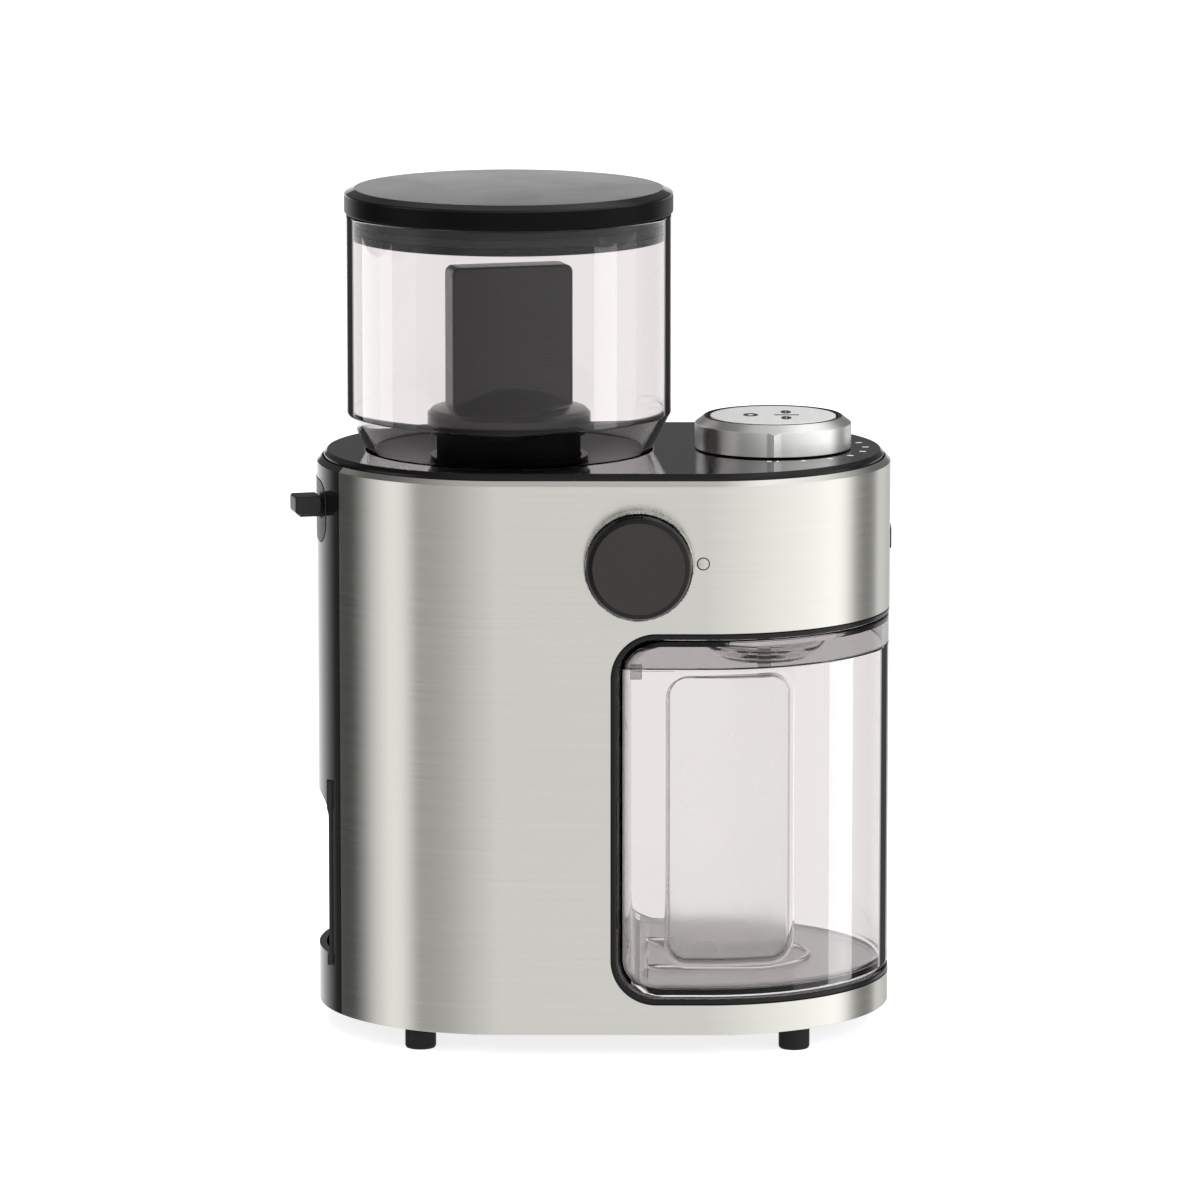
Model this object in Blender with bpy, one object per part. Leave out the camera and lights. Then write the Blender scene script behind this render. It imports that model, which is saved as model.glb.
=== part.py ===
"""Burr coffee grinder with a bean hopper on top and a clear container that slides out of its side.

Constants and profiles are in millimetres, in the body's own frame: X along the body, with the
container's bay at +X; -Y is the front, with the start button; Z is up from the surface that the
feet stand on, and the body's middle is at X 0, Y 0. Meshes are made in metres. The empty named
grinder shifts everything so that the world's origin is the middle of the footprint.
"""
import math

import bmesh
import bpy
from mathutils import Vector

MM = 0.001
GAP = 0.3                       # clearance between pieces that touch on the real object

# Body plan: a stadium, two half circles joined by straight sides
BODY_LENGTH, BODY_WIDTH = 190.0, 122.0
BODY_RADIUS = BODY_WIDTH / 2
ARC_CENTRE = BODY_LENGTH / 2 - BODY_RADIUS
ARC_STEP = 10                   # degrees between the points of the body's round ends
ROUND = 28                      # points around the hopper, the dial and the pieces that fit them
SHELL_BOTTOM, BEVEL_START, SHELL_TOP = 7.5, 189.2, 191.2
STEEL, COVER = 1.2, 2.4         # wall thicknesses
SEAM_ANGLE = 30.5               # how far each end of the steel sheet passes the body's long axis
INSIDE = COVER + 0.4            # inset that clears both outer walls

# Top plate and the two axes that stand on it
PLATE_BOTTOM, PLATE_TOP, PLATE_INSET, PLATE_FLAT_INSET = 189.0, 193.0, 2.3, 3.5
HOPPER_X, DIAL_X = -31.3, 56.0
WELL_RADIUS, WELL_FLOOR = 47.4, 186.0

# Container bay: open at the front, at the right end and at the back
BAY_LEFT, BAY_BOTTOM, BAY_TOP, BAY_CORNER = 2.6, 17.5, 140.9, 15.0
TRIM = 2.0
FLOOR_TOP, RIDGE_TOP = 17.8, 19.4
CEILING = (141.3, 143.3)
CONTAINER_MARGIN = TRIM + GAP   # the container's clearance inside the bay's opening
CONTAINER_WALL, CONTAINER_CORNER, CONTAINER_INSET = 2.2, 5.0, 0.25
CONTAINER_RIM = 129.0
INLET_X = 53.0

# Hopper
GLASS_RADIUS, GLASS_WALL = 53.7, 2.0
GLASS_RIM, LID_RIM_TOP, OVERALL_HEIGHT = 271.2, 278.1, 279.6
LID_RADIUS = 54.3
FIN_WIDTH, FIN_THICKNESS, FIN_TOP, FIN_ANGLE, FIN_CORNER = 41.0, 11.0, 254.0, 16.0, 2.5
KEY_BASE_RADIUS, KEY_BASE = 27.0, (201.0, 206.4)
KEY_DOME = [(0, 214), (8, 213), (15, 210.5), (21, 207.6)]
KEY_TUBE = (21.0, 23.5)         # inner and outer radius of the key's tube, inside the collar
KEY_WINDOWS = (-40, -11, 191.5), (40, 11, 199)      # beans fall through these, left and right

# Grind selector
LEVER_ANGLE = 13.9              # where the lever stands, towards the front
LEVER_REACH = 103.5             # from the body's middle to the lever's end
LEVER_HALF_WIDTH, KNOB_HALF_WIDTH = 2.5, 5.0
LEVER_ARM, LEVER_GRIP = (172.6, 175.4), (173.6, 179.7)      # heights
SELECTOR_Z, SELECTOR_HALF, SELECTOR_CORNER = (163.7, 184.0), 21.0, 7.0

# Front controls
BUTTON_X, CONTROL_Z = 11.8, 164.0
BUTTON_RADIUS, BUTTON_FACE = 17.1, 72.0
INDICATOR_X = 32.7

# Gear train: spindle <- idler <- motor
MAIN_TEETH, IDLER_SMALL_TEETH, IDLER_LARGE_TEETH, PINION_TEETH = 42, 14, 36, 12
FINAL_MODULE, FIRST_MODULE = 1.25, 1.0
IDLER_ANGLE = 120.0             # direction from the spindle to the idler
FINAL_CENTRES = FINAL_MODULE * (MAIN_TEETH + IDLER_SMALL_TEETH) / 2
FIRST_CENTRES = FIRST_MODULE * (IDLER_LARGE_TEETH + PINION_TEETH) / 2
IDLER_X = HOPPER_X + FINAL_CENTRES * math.cos(math.radians(IDLER_ANGLE))
IDLER_Y = FINAL_CENTRES * math.sin(math.radians(IDLER_ANGLE))
MOTOR_X, MOTOR_Y = IDLER_X, IDLER_Y - FIRST_CENTRES
SPINDLE_RADIUS, PIN_RADIUS, BEARING_RADIUS = 4.0, 2.5, 9.5

# Footprint
FOOT_PLACES = {"front_left": (-60, -45), "front_right": (63, -45),
               "rear_left": (-60, 45), "rear_right": (63, 45)}
PLUG_PROUD = 0.4
ORIGIN_SHIFT = ((LEVER_REACH - BODY_LENGTH / 2 - PLUG_PROUD) / 2, (BUTTON_FACE - BODY_RADIUS) / 2)


# ---------------------------------------------------------------- outlines and profiles

def polar(radius, degrees, x=0.0, y=0.0):
    angle = math.radians(degrees)
    return (x + radius * math.cos(angle), y + radius * math.sin(angle))


def arc(x, y, radius, start, end, steps):
    return [polar(radius, start + (end - start) * i / steps, x, y) for i in range(steps + 1)]


def circle(radius, steps, x=0.0, y=0.0):
    return arc(x, y, radius, 0, 360, steps)[:-1]


def rounded_rectangle(x0, z0, x1, z1, radius, steps=4):
    corners = [(x1 - radius, z0 + radius, -90), (x1 - radius, z1 - radius, 0),
               (x0 + radius, z1 - radius, 90), (x0 + radius, z0 + radius, 180)]
    return [p for x, z, start in corners for p in arc(x, z, radius, start, start + 90, steps)]


def bay_outline(margin, corner):
    """The bay's opening in X and Z, shrunk by margin; its right side lies past the body's end."""
    x0, z0, z1 = BAY_LEFT + margin, BAY_BOTTOM + margin, BAY_TOP - margin
    far = BODY_LENGTH
    return ([(far, z0), (far, z1)] + arc(x0 + corner, z1 - corner, corner, 90, 180, 5)
            + arc(x0 + corner, z0 + corner, corner, 180, 270, 5))


def stations(start, end):
    """(arc centre, cosine, sine) along the body's outline, counter-clockwise from start to end."""
    angles = [start] + [a for a in range(-360, 721, ARC_STEP) if start < a < end] + [end]
    found = []
    for angle in angles:
        cosine, sine = math.cos(math.radians(angle)), math.sin(math.radians(angle))
        if angle % 180 == 90:
            first = ARC_CENTRE if angle % 360 == 90 else -ARC_CENTRE
            found += [(first, cosine, sine), (-first, cosine, sine)]
        else:
            found.append((math.copysign(ARC_CENTRE, cosine), cosine, sine))
    return found


def stadium(inset):
    radius = BODY_RADIUS - inset
    return [(x + radius * c, radius * s) for x, c, s in stations(0, 360)[:-1]]


def bay_plan(left, inset, corner):
    """The part of the body's plan right of left, with its two left corners rounded."""
    radius = BODY_RADIUS - inset
    right = arc(ARC_CENTRE, 0, radius, -90, 90, 180 // ARC_STEP)
    low = arc(left + corner, corner - radius, corner, 180, 270, 3)
    high = arc(left + corner, radius - corner, corner, 90, 180, 3)
    return low + right + high


def belt(x0, y0, r0, x1, y1, r1, steps=12):
    """Outline of a belt around two circles."""
    heading = math.degrees(math.atan2(y1 - y0, x1 - x0))
    spread = math.degrees(math.acos((r0 - r1) / math.hypot(x1 - x0, y1 - y0)))
    far = arc(x1, y1, r1, heading - spread, heading + spread, steps)
    near = arc(x0, y0, r0, heading + spread, heading - spread + 360, steps)
    return far + near


def gear_outline(teeth, module, tooth_angle):
    """Straight-sided teeth with running backlash; one tooth is centred on tooth_angle."""
    pitch = teeth * module / 2
    corners = [(pitch - 1.25 * module, -0.86), (pitch + 0.85 * module, -0.33),
               (pitch + 0.85 * module, 0.33), (pitch - 1.25 * module, 0.86)]
    points = []
    for tooth in range(teeth):
        for radius, half_width in corners:
            turn = math.degrees(half_width * module / radius)
            points.append(polar(radius, tooth_angle + 360 * tooth / teeth + turn))
    return points


# ---------------------------------------------------------------- making objects

def make_material(name, colour, roughness, metallic=0.0, transmission=0.0):
    material = bpy.data.materials.new(name)
    material.use_nodes = True
    shader = material.node_tree.nodes["Principled BSDF"]
    shader.inputs["Base Color"].default_value = (*colour, 1.0)
    shader.inputs["Roughness"].default_value = roughness
    shader.inputs["Metallic"].default_value = metallic
    shader.inputs["Transmission Weight"].default_value = transmission
    return material


FINISHES = {
    "steel": ((0.62, 0.61, 0.58), 0.32, 1.0),
    "silver": ((0.80, 0.80, 0.78), 0.30, 1.0),
    "bright": ((0.55, 0.56, 0.58), 0.35, 1.0),
    "brass": ((0.71, 0.53, 0.25), 0.35, 1.0),
    "copper": ((0.60, 0.30, 0.16), 0.40, 1.0),
    "gloss_black": ((0.012, 0.012, 0.012), 0.12),
    "black": ((0.03, 0.03, 0.03), 0.45),
    "charcoal": ((0.06, 0.055, 0.05), 0.50),
    "grey": ((0.20, 0.19, 0.18), 0.50),
    "white": ((0.75, 0.74, 0.70), 0.45),
    "rubber": ((0.02, 0.02, 0.02), 0.80),
    "board": ((0.04, 0.16, 0.07), 0.60),
    "clear": ((0.92, 0.91, 0.91), 0.04, 0.0, 0.95),
    "smoke": ((0.35, 0.33, 0.33), 0.06, 0.0, 0.85),
}


def add_object(name, bm, finish, parent, smooth=False):
    bmesh.ops.recalc_face_normals(bm, faces=bm.faces)
    mesh = bpy.data.meshes.new(name)
    bm.to_mesh(mesh)
    bm.free()
    if smooth:
        mesh.shade_smooth()
        mesh.set_sharp_from_angle(angle=math.radians(35))
    if finish:
        mesh.materials.append(make_material(name, *FINISHES[finish]))
    obj = bpy.data.objects.new(name, mesh)
    bpy.context.scene.collection.objects.link(obj)
    obj.parent = parent
    return obj


def add_axis(name, x, y, z=0.0, parent=None, tilt=0.0):
    """An empty on a joint's axis; tilt turns its Z towards the front (90) or the back (-90)."""
    empty = bpy.data.objects.new(name, None)
    empty.empty_display_size = 0.02
    empty.location = (x * MM, y * MM, z * MM)
    empty.rotation_euler = (math.radians(tilt), 0, 0)
    empty.parent = parent
    bpy.context.scene.collection.objects.link(empty)
    return empty


def level_vertices(bm, outline, height):
    return [bm.verts.new((x * MM, y * MM, height * MM)) for x, y in outline]


def grid_faces(bm, rows, close_rows, close_columns):
    """Faces between rows of vertices; a row of one vertex is a pole."""
    count = len(rows)
    for i in range(count if close_rows else count - 1):
        low, high = rows[i], rows[(i + 1) % count]
        width = max(len(low), len(high))
        if width == 1:
            continue
        for j in range(width if close_columns else width - 1):
            k = (j + 1) % width
            corners = [low[j % len(low)], low[k % len(low)], high[k % len(high)], high[j % len(high)]]
            bm.faces.new(list(dict.fromkeys(corners)))


def lathe(name, profile, finish, parent, steps=32):
    """Turn a closed profile of (radius, height) about the parent's Z axis."""
    bm = bmesh.new()
    rows = []
    for radius, height in profile:
        ring = circle(radius, steps) if radius else [(0.0, 0.0)]
        rows.append(level_vertices(bm, ring, height))
    grid_faces(bm, rows, profile[0][0] > 0 or profile[-1][0] > 0, True)
    return add_object(name, bm, finish, parent, smooth=True)


def loft(name, rings, finish, parent):
    """A solid through rings of (outline, height), capped at both ends."""
    bm = bmesh.new()
    rows = [level_vertices(bm, outline, height) for outline, height in rings]
    grid_faces(bm, rows, False, True)
    bm.faces.new(rows[0])
    bm.faces.new(rows[-1])
    return add_object(name, bm, finish, parent, smooth=True)


def prism(name, outline, low, high, finish, parent, axis="Z"):
    """Extrude an outline along an axis; the outline is in (x, y), (x, z) or (y, z)."""
    place = {"Z": lambda u, v, w: (u, v, w),
             "Y": lambda u, v, w: (u, w, v),
             "X": lambda u, v, w: (w, u, v)}[axis]
    bm = bmesh.new()
    rows = [[bm.verts.new(Vector(place(u, v, w)) * MM) for u, v in outline] for w in (low, high)]
    grid_faces(bm, rows, False, True)
    bm.faces.new(rows[0])
    bm.faces.new(rows[1])
    return add_object(name, bm, finish, parent, smooth=True)


def block(name, low, high, finish, parent):
    outline = [(low[0], low[1]), (high[0], low[1]), (high[0], high[1]), (low[0], high[1])]
    return prism(name, outline, low[2], high[2], finish, parent)


def cup(name, outer, inner, bottom, floor, rim, finish, parent):
    """An open vessel; outer and inner are outlines with the same number of points."""
    bm = bmesh.new()
    levels = [(outer, bottom), (outer, rim), (inner, rim), (inner, floor)]
    rows = [level_vertices(bm, outline, height) for outline, height in levels]
    grid_faces(bm, rows, False, True)
    bm.faces.new(rows[0])
    bm.faces.new(rows[-1])
    return add_object(name, bm, finish, parent, smooth=True)


def body_wall(name, section, start, end, finish, parent):
    """Sweep a section of (inset, height) along the body's outline, counter-clockwise."""
    bm = bmesh.new()
    rows = []
    for x, cosine, sine in stations(start, end):
        points = [(x + (BODY_RADIUS - inset) * cosine, (BODY_RADIUS - inset) * sine, height)
                  for inset, height in section]
        rows.append([bm.verts.new(Vector(p) * MM) for p in points])
    grid_faces(bm, rows, False, True)
    bm.faces.new(rows[0])
    bm.faces.new(rows[-1])
    return add_object(name, bm, finish, parent, smooth=True)


def fluted(name, rings, flutes, finish, parent, inside=None):
    """A solid of revolution with flutes. Each ring is (peak radius, valley radius, height, twist);
    inside is the plain radius of its bore, or of its rim when the flutes face inwards."""
    bm = bmesh.new()
    steps = flutes * 2
    rows = []
    for peak, valley, height, twist in rings:
        points = [polar((peak, valley)[i % 2], 360 * i / steps + twist) for i in range(steps)]
        rows.append(level_vertices(bm, points, height))
    for height in (rings[-1][2], rings[0][2]):
        rows.append(level_vertices(bm, circle(inside, steps), height))
    grid_faces(bm, rows, True, True)
    return add_object(name, bm, finish, parent)


def coil(name, radius, wire, low, high, turns, finish, parent, steps=12, sides=5):
    """A compression spring: a round wire along a helix about the parent's Z axis."""
    bm = bmesh.new()
    count = int(turns * steps)
    rows = []
    for i in range(count + 1):
        turn = 360 * i / steps
        x, y = polar(radius, turn)
        centre = Vector((x, y, low + (high - low) * i / count))
        outward = Vector((*polar(1, turn), 0))
        ring = [centre + outward * (wire * math.cos(a)) + Vector((0, 0, wire * math.sin(a)))
                for a in (math.tau * s / sides for s in range(sides))]
        rows.append([bm.verts.new(point * MM) for point in ring])
    grid_faces(bm, rows, False, True)
    bm.faces.new(rows[0])
    bm.faces.new(rows[-1])
    return add_object(name, bm, finish, parent, smooth=True)


def boolean(target, operation, *tools):
    """Apply tools to a target in turn; the tools stay as wire guides."""
    for tool in tools:
        tool.hide_render = True
        tool.display_type = "WIRE"
        modifier = target.modifiers.new(tool.name, "BOOLEAN")
        modifier.operation = operation
        modifier.object = tool
        modifier.solver = "EXACT"
    return target


def cut(target, *tools):
    return boolean(target, "DIFFERENCE", *tools)


def join(target, *tools):
    return boolean(target, "UNION", *tools)


def rod(name, radius, low, high, parent, x=0.0, y=0.0, steps=16, finish=None):
    """A plain round bar along the parent's Z axis."""
    return prism(name, circle(radius, steps, x, y), low, high, finish, parent)


def bore_all(target, name, places, radius, low, high, parent, steps=12):
    for number, (x, y) in enumerate(places):
        cut(target, rod(f"{name}_{number}", radius, low, high, parent, x, y, steps))


# ---------------------------------------------------------------- housing

def build_shells(root):
    steel = body_wall("steel_shell", [(0, SHELL_BOTTOM), (0, BEVEL_START), (2, SHELL_TOP), (2, 189.5),
                                      (STEEL, 188.7), (STEEL, SHELL_BOTTOM)],
                      180 + SEAM_ANGLE, 360 + SEAM_ANGLE, "steel", root)
    cover = body_wall("back_cover", [(0, SHELL_BOTTOM), (0, BEVEL_START), (2, SHELL_TOP), (2, 189.5),
                                     (COVER, 188.6), (COVER, SHELL_BOTTOM)],
                      SEAM_ANGLE + 0.3, 180 + SEAM_ANGLE - 0.3, "gloss_black", root)
    for shell in (steel, cover):
        cut(shell, prism(f"{shell.name}_bay_cutter", bay_outline(0, BAY_CORNER), -80, 80, None, root, "Y"))
    build_steel_openings(steel, root)
    build_cover_openings(cover, root)


def plug_outline(margin):
    return rounded_rectangle(-2 - margin, 159.4 - margin, 10 + margin, 166.6 + margin, 1.2 + margin, 2)


def selector_outline(margin):
    return rounded_rectangle(-SELECTOR_HALF - margin, SELECTOR_Z[0] - margin, SELECTOR_HALF + margin,
                             SELECTOR_Z[1] + margin, SELECTOR_CORNER + margin, 4)


def build_steel_openings(steel, root):
    cut(steel,
        prism("button_hole_cutter", circle(12, 24, BUTTON_X, CONTROL_Z), -70, -50, None, root, "Y"),
        prism("indicator_hole_cutter", circle(1.8, 10, INDICATOR_X, CONTROL_Z), -70, -50, None, root, "Y"),
        prism("plug_hole_cutter", plug_outline(GAP), 80, 110, None, root, "X"))


def build_cover_openings(cover, root):
    """The left end has a flat finger recess, and a window for the grind selector."""
    recess = 90.8               # distance of the recess's flat wall from the body's middle
    liner = block("recess_liner", (-recess - 0.6, -24.5, 23), (-recess + COVER, 24.5, 85), None, root)
    fillet = [(-110, 26.5), (-recess, 26.5), (-recess, 72.9)] + arc(-recess - 7.5, 72.9, 7.5, 0, 90, 4)[1:]
    hollow = prism("recess_cutter", fillet + [(-110, 80.4)], -40, 40, None, root, "Y")
    join(cover, liner)
    cut(cover, hollow,
        prism("selector_window_cutter", selector_outline(GAP), -110, -80, None, root, "X"),
        prism("cord_hole_cutter", circle(6.8, 16, -22, 22), 50, 70, None, root, "Y"))


def build_top_plate(root, hopper_axis, dial_axis):
    rings = [(stadium(PLATE_INSET), PLATE_BOTTOM), (stadium(PLATE_INSET), 191.7),
             (stadium(PLATE_FLAT_INSET), PLATE_TOP)]
    plate = loft("top_plate", rings, "gloss_black", root)
    well_wall = WELL_RADIUS + 2
    join(plate, rod("well_body", well_wall, WELL_FLOOR - 2, 191.0, hopper_axis, steps=ROUND))
    cut(plate,
        lathe("well_cutter", [(0, 180), (33, 180), (33, WELL_FLOOR), (WELL_RADIUS, WELL_FLOOR),
                              (WELL_RADIUS, 200), (0, 200)], None, hopper_axis, ROUND),
        rod("dial_hole_cutter", 5.0, 180, 200, dial_axis))


def build_base(root):
    pan = prism("base_pan", stadium(INSIDE), 7.8, 10.8, "black", root)
    screws = [(x, y) for x in (-42, 42) for y in (-50, 50)]
    bore_all(pan, "base_hole_cutter", screws, 1.9, 5, 13, root)
    for number, (x, y) in enumerate(screws, 1):
        axis = add_axis(f"base_screw_{number}_axis", x, y, parent=root)
        lathe(f"base_screw_{number}",
              [(0, 5.6), (2.4, 5.6), (3.2, 6.2), (3.2, 7.5), (1.5, 7.5), (1.5, 13), (0, 13)],
              "bright", axis, 8)
    for name, (x, y) in FOOT_PLACES.items():
        axis = add_axis(f"foot_{name}_axis", x, y, parent=root)
        lathe(f"foot_{name}", [(0, 0), (4.5, 0), (5.1, 0.7), (5.1, 7.5), (0, 7.5)], "rubber", axis, 14)


def build_bay(root):
    floor = prism("bay_floor", bay_plan(BAY_LEFT + GAP, INSIDE, 1), 13.5, FLOOR_TOP, "grey", root)
    guide_radius, guide_x = 21.5, 45.3
    outer, inner = guide_radius + 1, guide_radius - 1
    ridge = ([(6, -outer)] + arc(guide_x, 0, outer, -90, 90, 10) + [(6, outer), (6, inner)]
             + arc(guide_x, 0, inner, 90, -90, 10) + [(6, -inner)])
    join(floor, prism("guide_ridge", ridge, 16, RIDGE_TOP, None, root))
    wall = block("bay_wall", (0.4, -58, 17.8), (2.2, 58, 140.8), "charcoal", root)
    cut(wall, prism("switch_hole_cutter", circle(1.9, 12, -35, 106), -5, 8, None, root, "X"))
    ceiling = prism("bay_ceiling", bay_plan(0.4, INSIDE, 1), *CEILING, "charcoal", root)
    cut(ceiling, rod("outlet_cutter", 8.5, 130, 150, root, INLET_X, 0, 24))
    trim = body_wall("bay_trim", [(0, 12), (0, 146), (2, 146), (2, 12)], -90, 90, "black", root)
    outer, inner = bay_outline(GAP, BAY_CORNER - GAP), bay_outline(TRIM, BAY_CORNER - TRIM)
    boolean(trim, "INTERSECT", prism("trim_outer_guide", outer, -80, 80, None, root, "Y"))
    cut(trim, prism("trim_inner_cutter", inner, -80, 80, None, root, "Y"))


def build_fittings(root):
    """Cord gland, side plug, selector plate and the switch that feels the container."""
    gland_axis = add_axis("cord_gland_axis", -22, 0, 22, root, tilt=-90)
    lathe("cord_gland", [(3.5, 50), (5.5, 50), (9, 55.5), (9, 58.2), (6.5, 58.2), (6.5, 61), (3.5, 61)],
          "rubber", gland_axis, 16)
    end = BODY_LENGTH / 2 + PLUG_PROUD
    prism("side_plug", plug_outline(0), 90, end, "black", root, "X")
    plate = body_wall("selector_plate", [(-0.2, 155), (-0.2, 190), (2.2, 190), (2.2, 155)], 150, 210,
                      "black", root)
    boolean(plate, "INTERSECT", prism("selector_guide", selector_outline(0), -110, -80, None, root, "X"))
    slot_half, slot_low, slot_high = 18.6, LEVER_ARM[0] - 0.7, LEVER_ARM[1] + 0.7
    slot = [(-slot_half, slot_low), (slot_half, slot_low), (slot_half, slot_high), (-slot_half, slot_high)]
    cut(plate, prism("selector_slot_cutter", slot, -110, -80, None, root, "X"))
    switch = block("interlock_switch", (-6.5, -41, 99), (0.1, -29, 112), "black", root)
    join(switch, prism("switch_plunger", circle(1.5, 12, -35, 106), -2, 4.5, None, root, "X"))


# ---------------------------------------------------------------- hopper

def build_hopper(axis):
    inner = GLASS_RADIUS - GLASS_WALL
    lathe("hopper", [(inner, GLASS_RIM), (GLASS_RADIUS, GLASS_RIM), (GLASS_RADIUS, 205.4), (46.6, 192.3),
                     (46.6, WELL_FLOOR + GAP), (44.6, WELL_FLOOR + GAP), (44.6, 191.0), (26.6, 187.5),
                     (26.6, 178.0), (24.6, 178.0), (24.6, 189.3), (44.6, 193.2), (inner, 206.6)],
          "clear", axis, ROUND)
    collar = lathe("throat_collar", [(24, 189.9), (26, 189.9), (26, 200.7), (24, 200.7)], "charcoal",
                   axis, 24)
    cut(collar, block("collar_window_cutter", *KEY_WINDOWS, None, axis))
    lid_rim = GLASS_RIM + GAP
    skirt = inner - GAP
    lathe("hopper_lid", [(0, OVERALL_HEIGHT), (50.85, OVERALL_HEIGHT), (LID_RADIUS, LID_RIM_TOP),
                         (LID_RADIUS, lid_rim), (skirt, lid_rim), (skirt, 268.6), (skirt - 1.2, 268.6),
                         (skirt - 1.2, 265.4), (skirt, 265.4), (skirt, 263), (skirt - 2.6, 263),
                         (skirt - 2.6, 275.6), (0, 275.6)], "gloss_black", axis, ROUND)
    lathe("lid_seal", [(skirt - 0.9, 265.7), (skirt + 0.1, 265.7), (skirt + 0.1, 268.3),
                       (skirt - 0.9, 268.3)], "rubber", axis, ROUND)


def build_hopper_key(axis):
    low, high = KEY_BASE
    inner, outer = KEY_TUBE
    rim = [(KEY_BASE_RADIUS - 1.5, high), (KEY_BASE_RADIUS, high - 1.5), (KEY_BASE_RADIUS, low)]
    tube = [(outer, low), (outer, 178.6), (inner, 178.6), (inner, low + 2), (0, low + 2)]
    key = lathe("hopper_key", KEY_DOME + rim + tube, "charcoal", axis, 24)
    half = FIN_WIDTH / 2
    fin = prism("key_fin", rounded_rectangle(-half, high - 2, half, FIN_TOP, FIN_CORNER, 3),
                -FIN_THICKNESS / 2, FIN_THICKNESS / 2, None, axis, "Y")
    fin.rotation_euler.z = math.radians(FIN_ANGLE)
    join(key, fin)
    cut(key, block("key_window_cutter", *KEY_WINDOWS, None, axis))


# ---------------------------------------------------------------- grinding set

def build_carrier(axis):
    lathe("burr_carrier", [(24.3, 160.3), (30, 160.3), (30, 172.6), (35, 172.6), (35, 176), (20.5, 176),
                           (20.5, 173), (24.3, 173)], "white", axis, 28)
    fluted("upper_burr", [(19.8, 21.2, 160.6, 0), (17.2, 18.8, 166, 5), (16, 17.6, 172.7, 10)], 20, "bright",
           axis, inside=24.0)
    build_lever(axis)


def build_lever(axis):
    """A flat arm from the carrier's flange out through the slot, with a grip on its end."""
    turn = math.radians(LEVER_ANGLE)
    reach = (LEVER_REACH + HOPPER_X - KNOB_HALF_WIDTH * math.sin(turn)) / math.cos(turn)
    half = LEVER_HALF_WIDTH
    arm = [(-35.4, -9), (-35.4, 9), (-44, half), (-reach + 2, half), (-reach + 2, -half), (-44, -half)]
    lever = prism("grind_lever", arm, *LEVER_ARM, "black", axis)
    grip = prism("lever_grip", rounded_rectangle(-reach, LEVER_GRIP[0], -64.2, LEVER_GRIP[1], 1.2, 2),
                 -KNOB_HALF_WIDTH, KNOB_HALF_WIDTH, None, axis, "Y")
    for piece in (lever, grip):
        piece.rotation_euler.z = turn
    join(lever, grip)


def build_spindle(axis):
    lathe("burr_spindle", [(0, 114.8), (SPINDLE_RADIUS, 114.8), (SPINDLE_RADIUS, 176.2), (3, 176.2), (3, 181),
                           (0, 181)], "bright", axis, 16)
    fluted("lower_burr", [(19.2, 17.6, 159.5, 0), (13.4, 11.2, 167.5, -12), (9, 7.4, 176, -24)], 12, "bright",
           axis, inside=SPINDLE_RADIUS + GAP)
    nut = prism("burr_nut", circle(6.5, 6), 176.5, 180, "bright", axis)
    cut(nut, rod("nut_bore_cutter", 3.3, 170, 185, axis, steps=12))
    arms, hub, tip = 8, 21.0, 28.5
    paddle = []
    for arm in range(arms):
        middle = 360 * arm / arms
        paddle += [polar(hub, middle - 14), polar(tip, middle - 4),
                   polar(tip, middle + 4), polar(hub, middle + 14)]
    sweep = prism("sweep_plate", paddle, 154, 159.2, "grey", axis)
    cut(sweep, rod("sweep_bore_cutter", SPINDLE_RADIUS + GAP, 150, 165, axis))
    gear = prism("main_gear", gear_outline(MAIN_TEETH, FINAL_MODULE, IDLER_ANGLE), 134, 142, "white", axis)
    cut(gear, rod("main_bore_cutter", SPINDLE_RADIUS + GAP, 130, 145, axis))


def build_chamber(root, axis):
    """The grinding bowl, and the chute that leads from it to the container's inlet."""
    chamber = cup("grind_chamber", circle(33, 28), circle(30.4, 28), 149.2, 151.7, 172.2, "grey", axis)
    cut(chamber, rod("chamber_bore_cutter", 5, 140, 155, axis),
        block("chamber_exit_cutter", (20, -9, 151.8), (40, 9, 159.8), None, axis))
    outer = [(2.2, 149.6), (2.2, 162.6), (40, 162.6), (63.6, 154), (63.6, 143.6), (42.4, 143.6),
             (42.4, 145.6)]
    inner = [(-5, 151.6), (44.2, 147.5), (44.2, 140), (61.8, 140), (61.8, 153), (39.6, 160.8),
             (-5, 160.8)]
    chute = prism("exit_chute", outer, -11.4, 11.4, "grey", root, "Y")
    cut(chute, prism("chute_cutter", inner, -9.4, 9.4, None, root, "Y"))


# ---------------------------------------------------------------- gearbox and motor

def build_gearbox(root):
    outer = belt(HOPPER_X, 0, 31.3, IDLER_X, IDLER_Y, 22.8)
    inner = belt(HOPPER_X, 0, 29.7, IDLER_X, IDLER_Y, 21.2)
    case = cup("gearbox_case", outer, inner, 115, 118.2, 143.9, "grey", root)
    bore_all(case, "case_bearing_cutter", [(HOPPER_X, 0)], BEARING_RADIUS + GAP, 110, 125, root, 16)
    bore_all(case, "case_shaft_cutter", [(MOTOR_X, MOTOR_Y)], 4.5, 110, 125, root, 16)
    cover = prism("gearbox_cover", outer, 144.2, 148.8, "grey", root)
    bore_all(cover, "cover_bearing_cutter", [(HOPPER_X, 0)], BEARING_RADIUS + GAP, 140, 155, root, 16)
    axis = add_axis("bearing_axis", HOPPER_X, 0, parent=root)
    for name, low in (("upper_bearing", 144.5), ("lower_bearing", 115.2)):
        bore, high = SPINDLE_RADIUS + GAP, low + 4
        lathe(name, [(bore, low), (BEARING_RADIUS, low), (BEARING_RADIUS, high), (bore, high)], "bright",
              axis, 16)
    rod("idler_pin", PIN_RADIUS, 118.5, 143.8, root, IDLER_X, IDLER_Y, 12, "bright")


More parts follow.
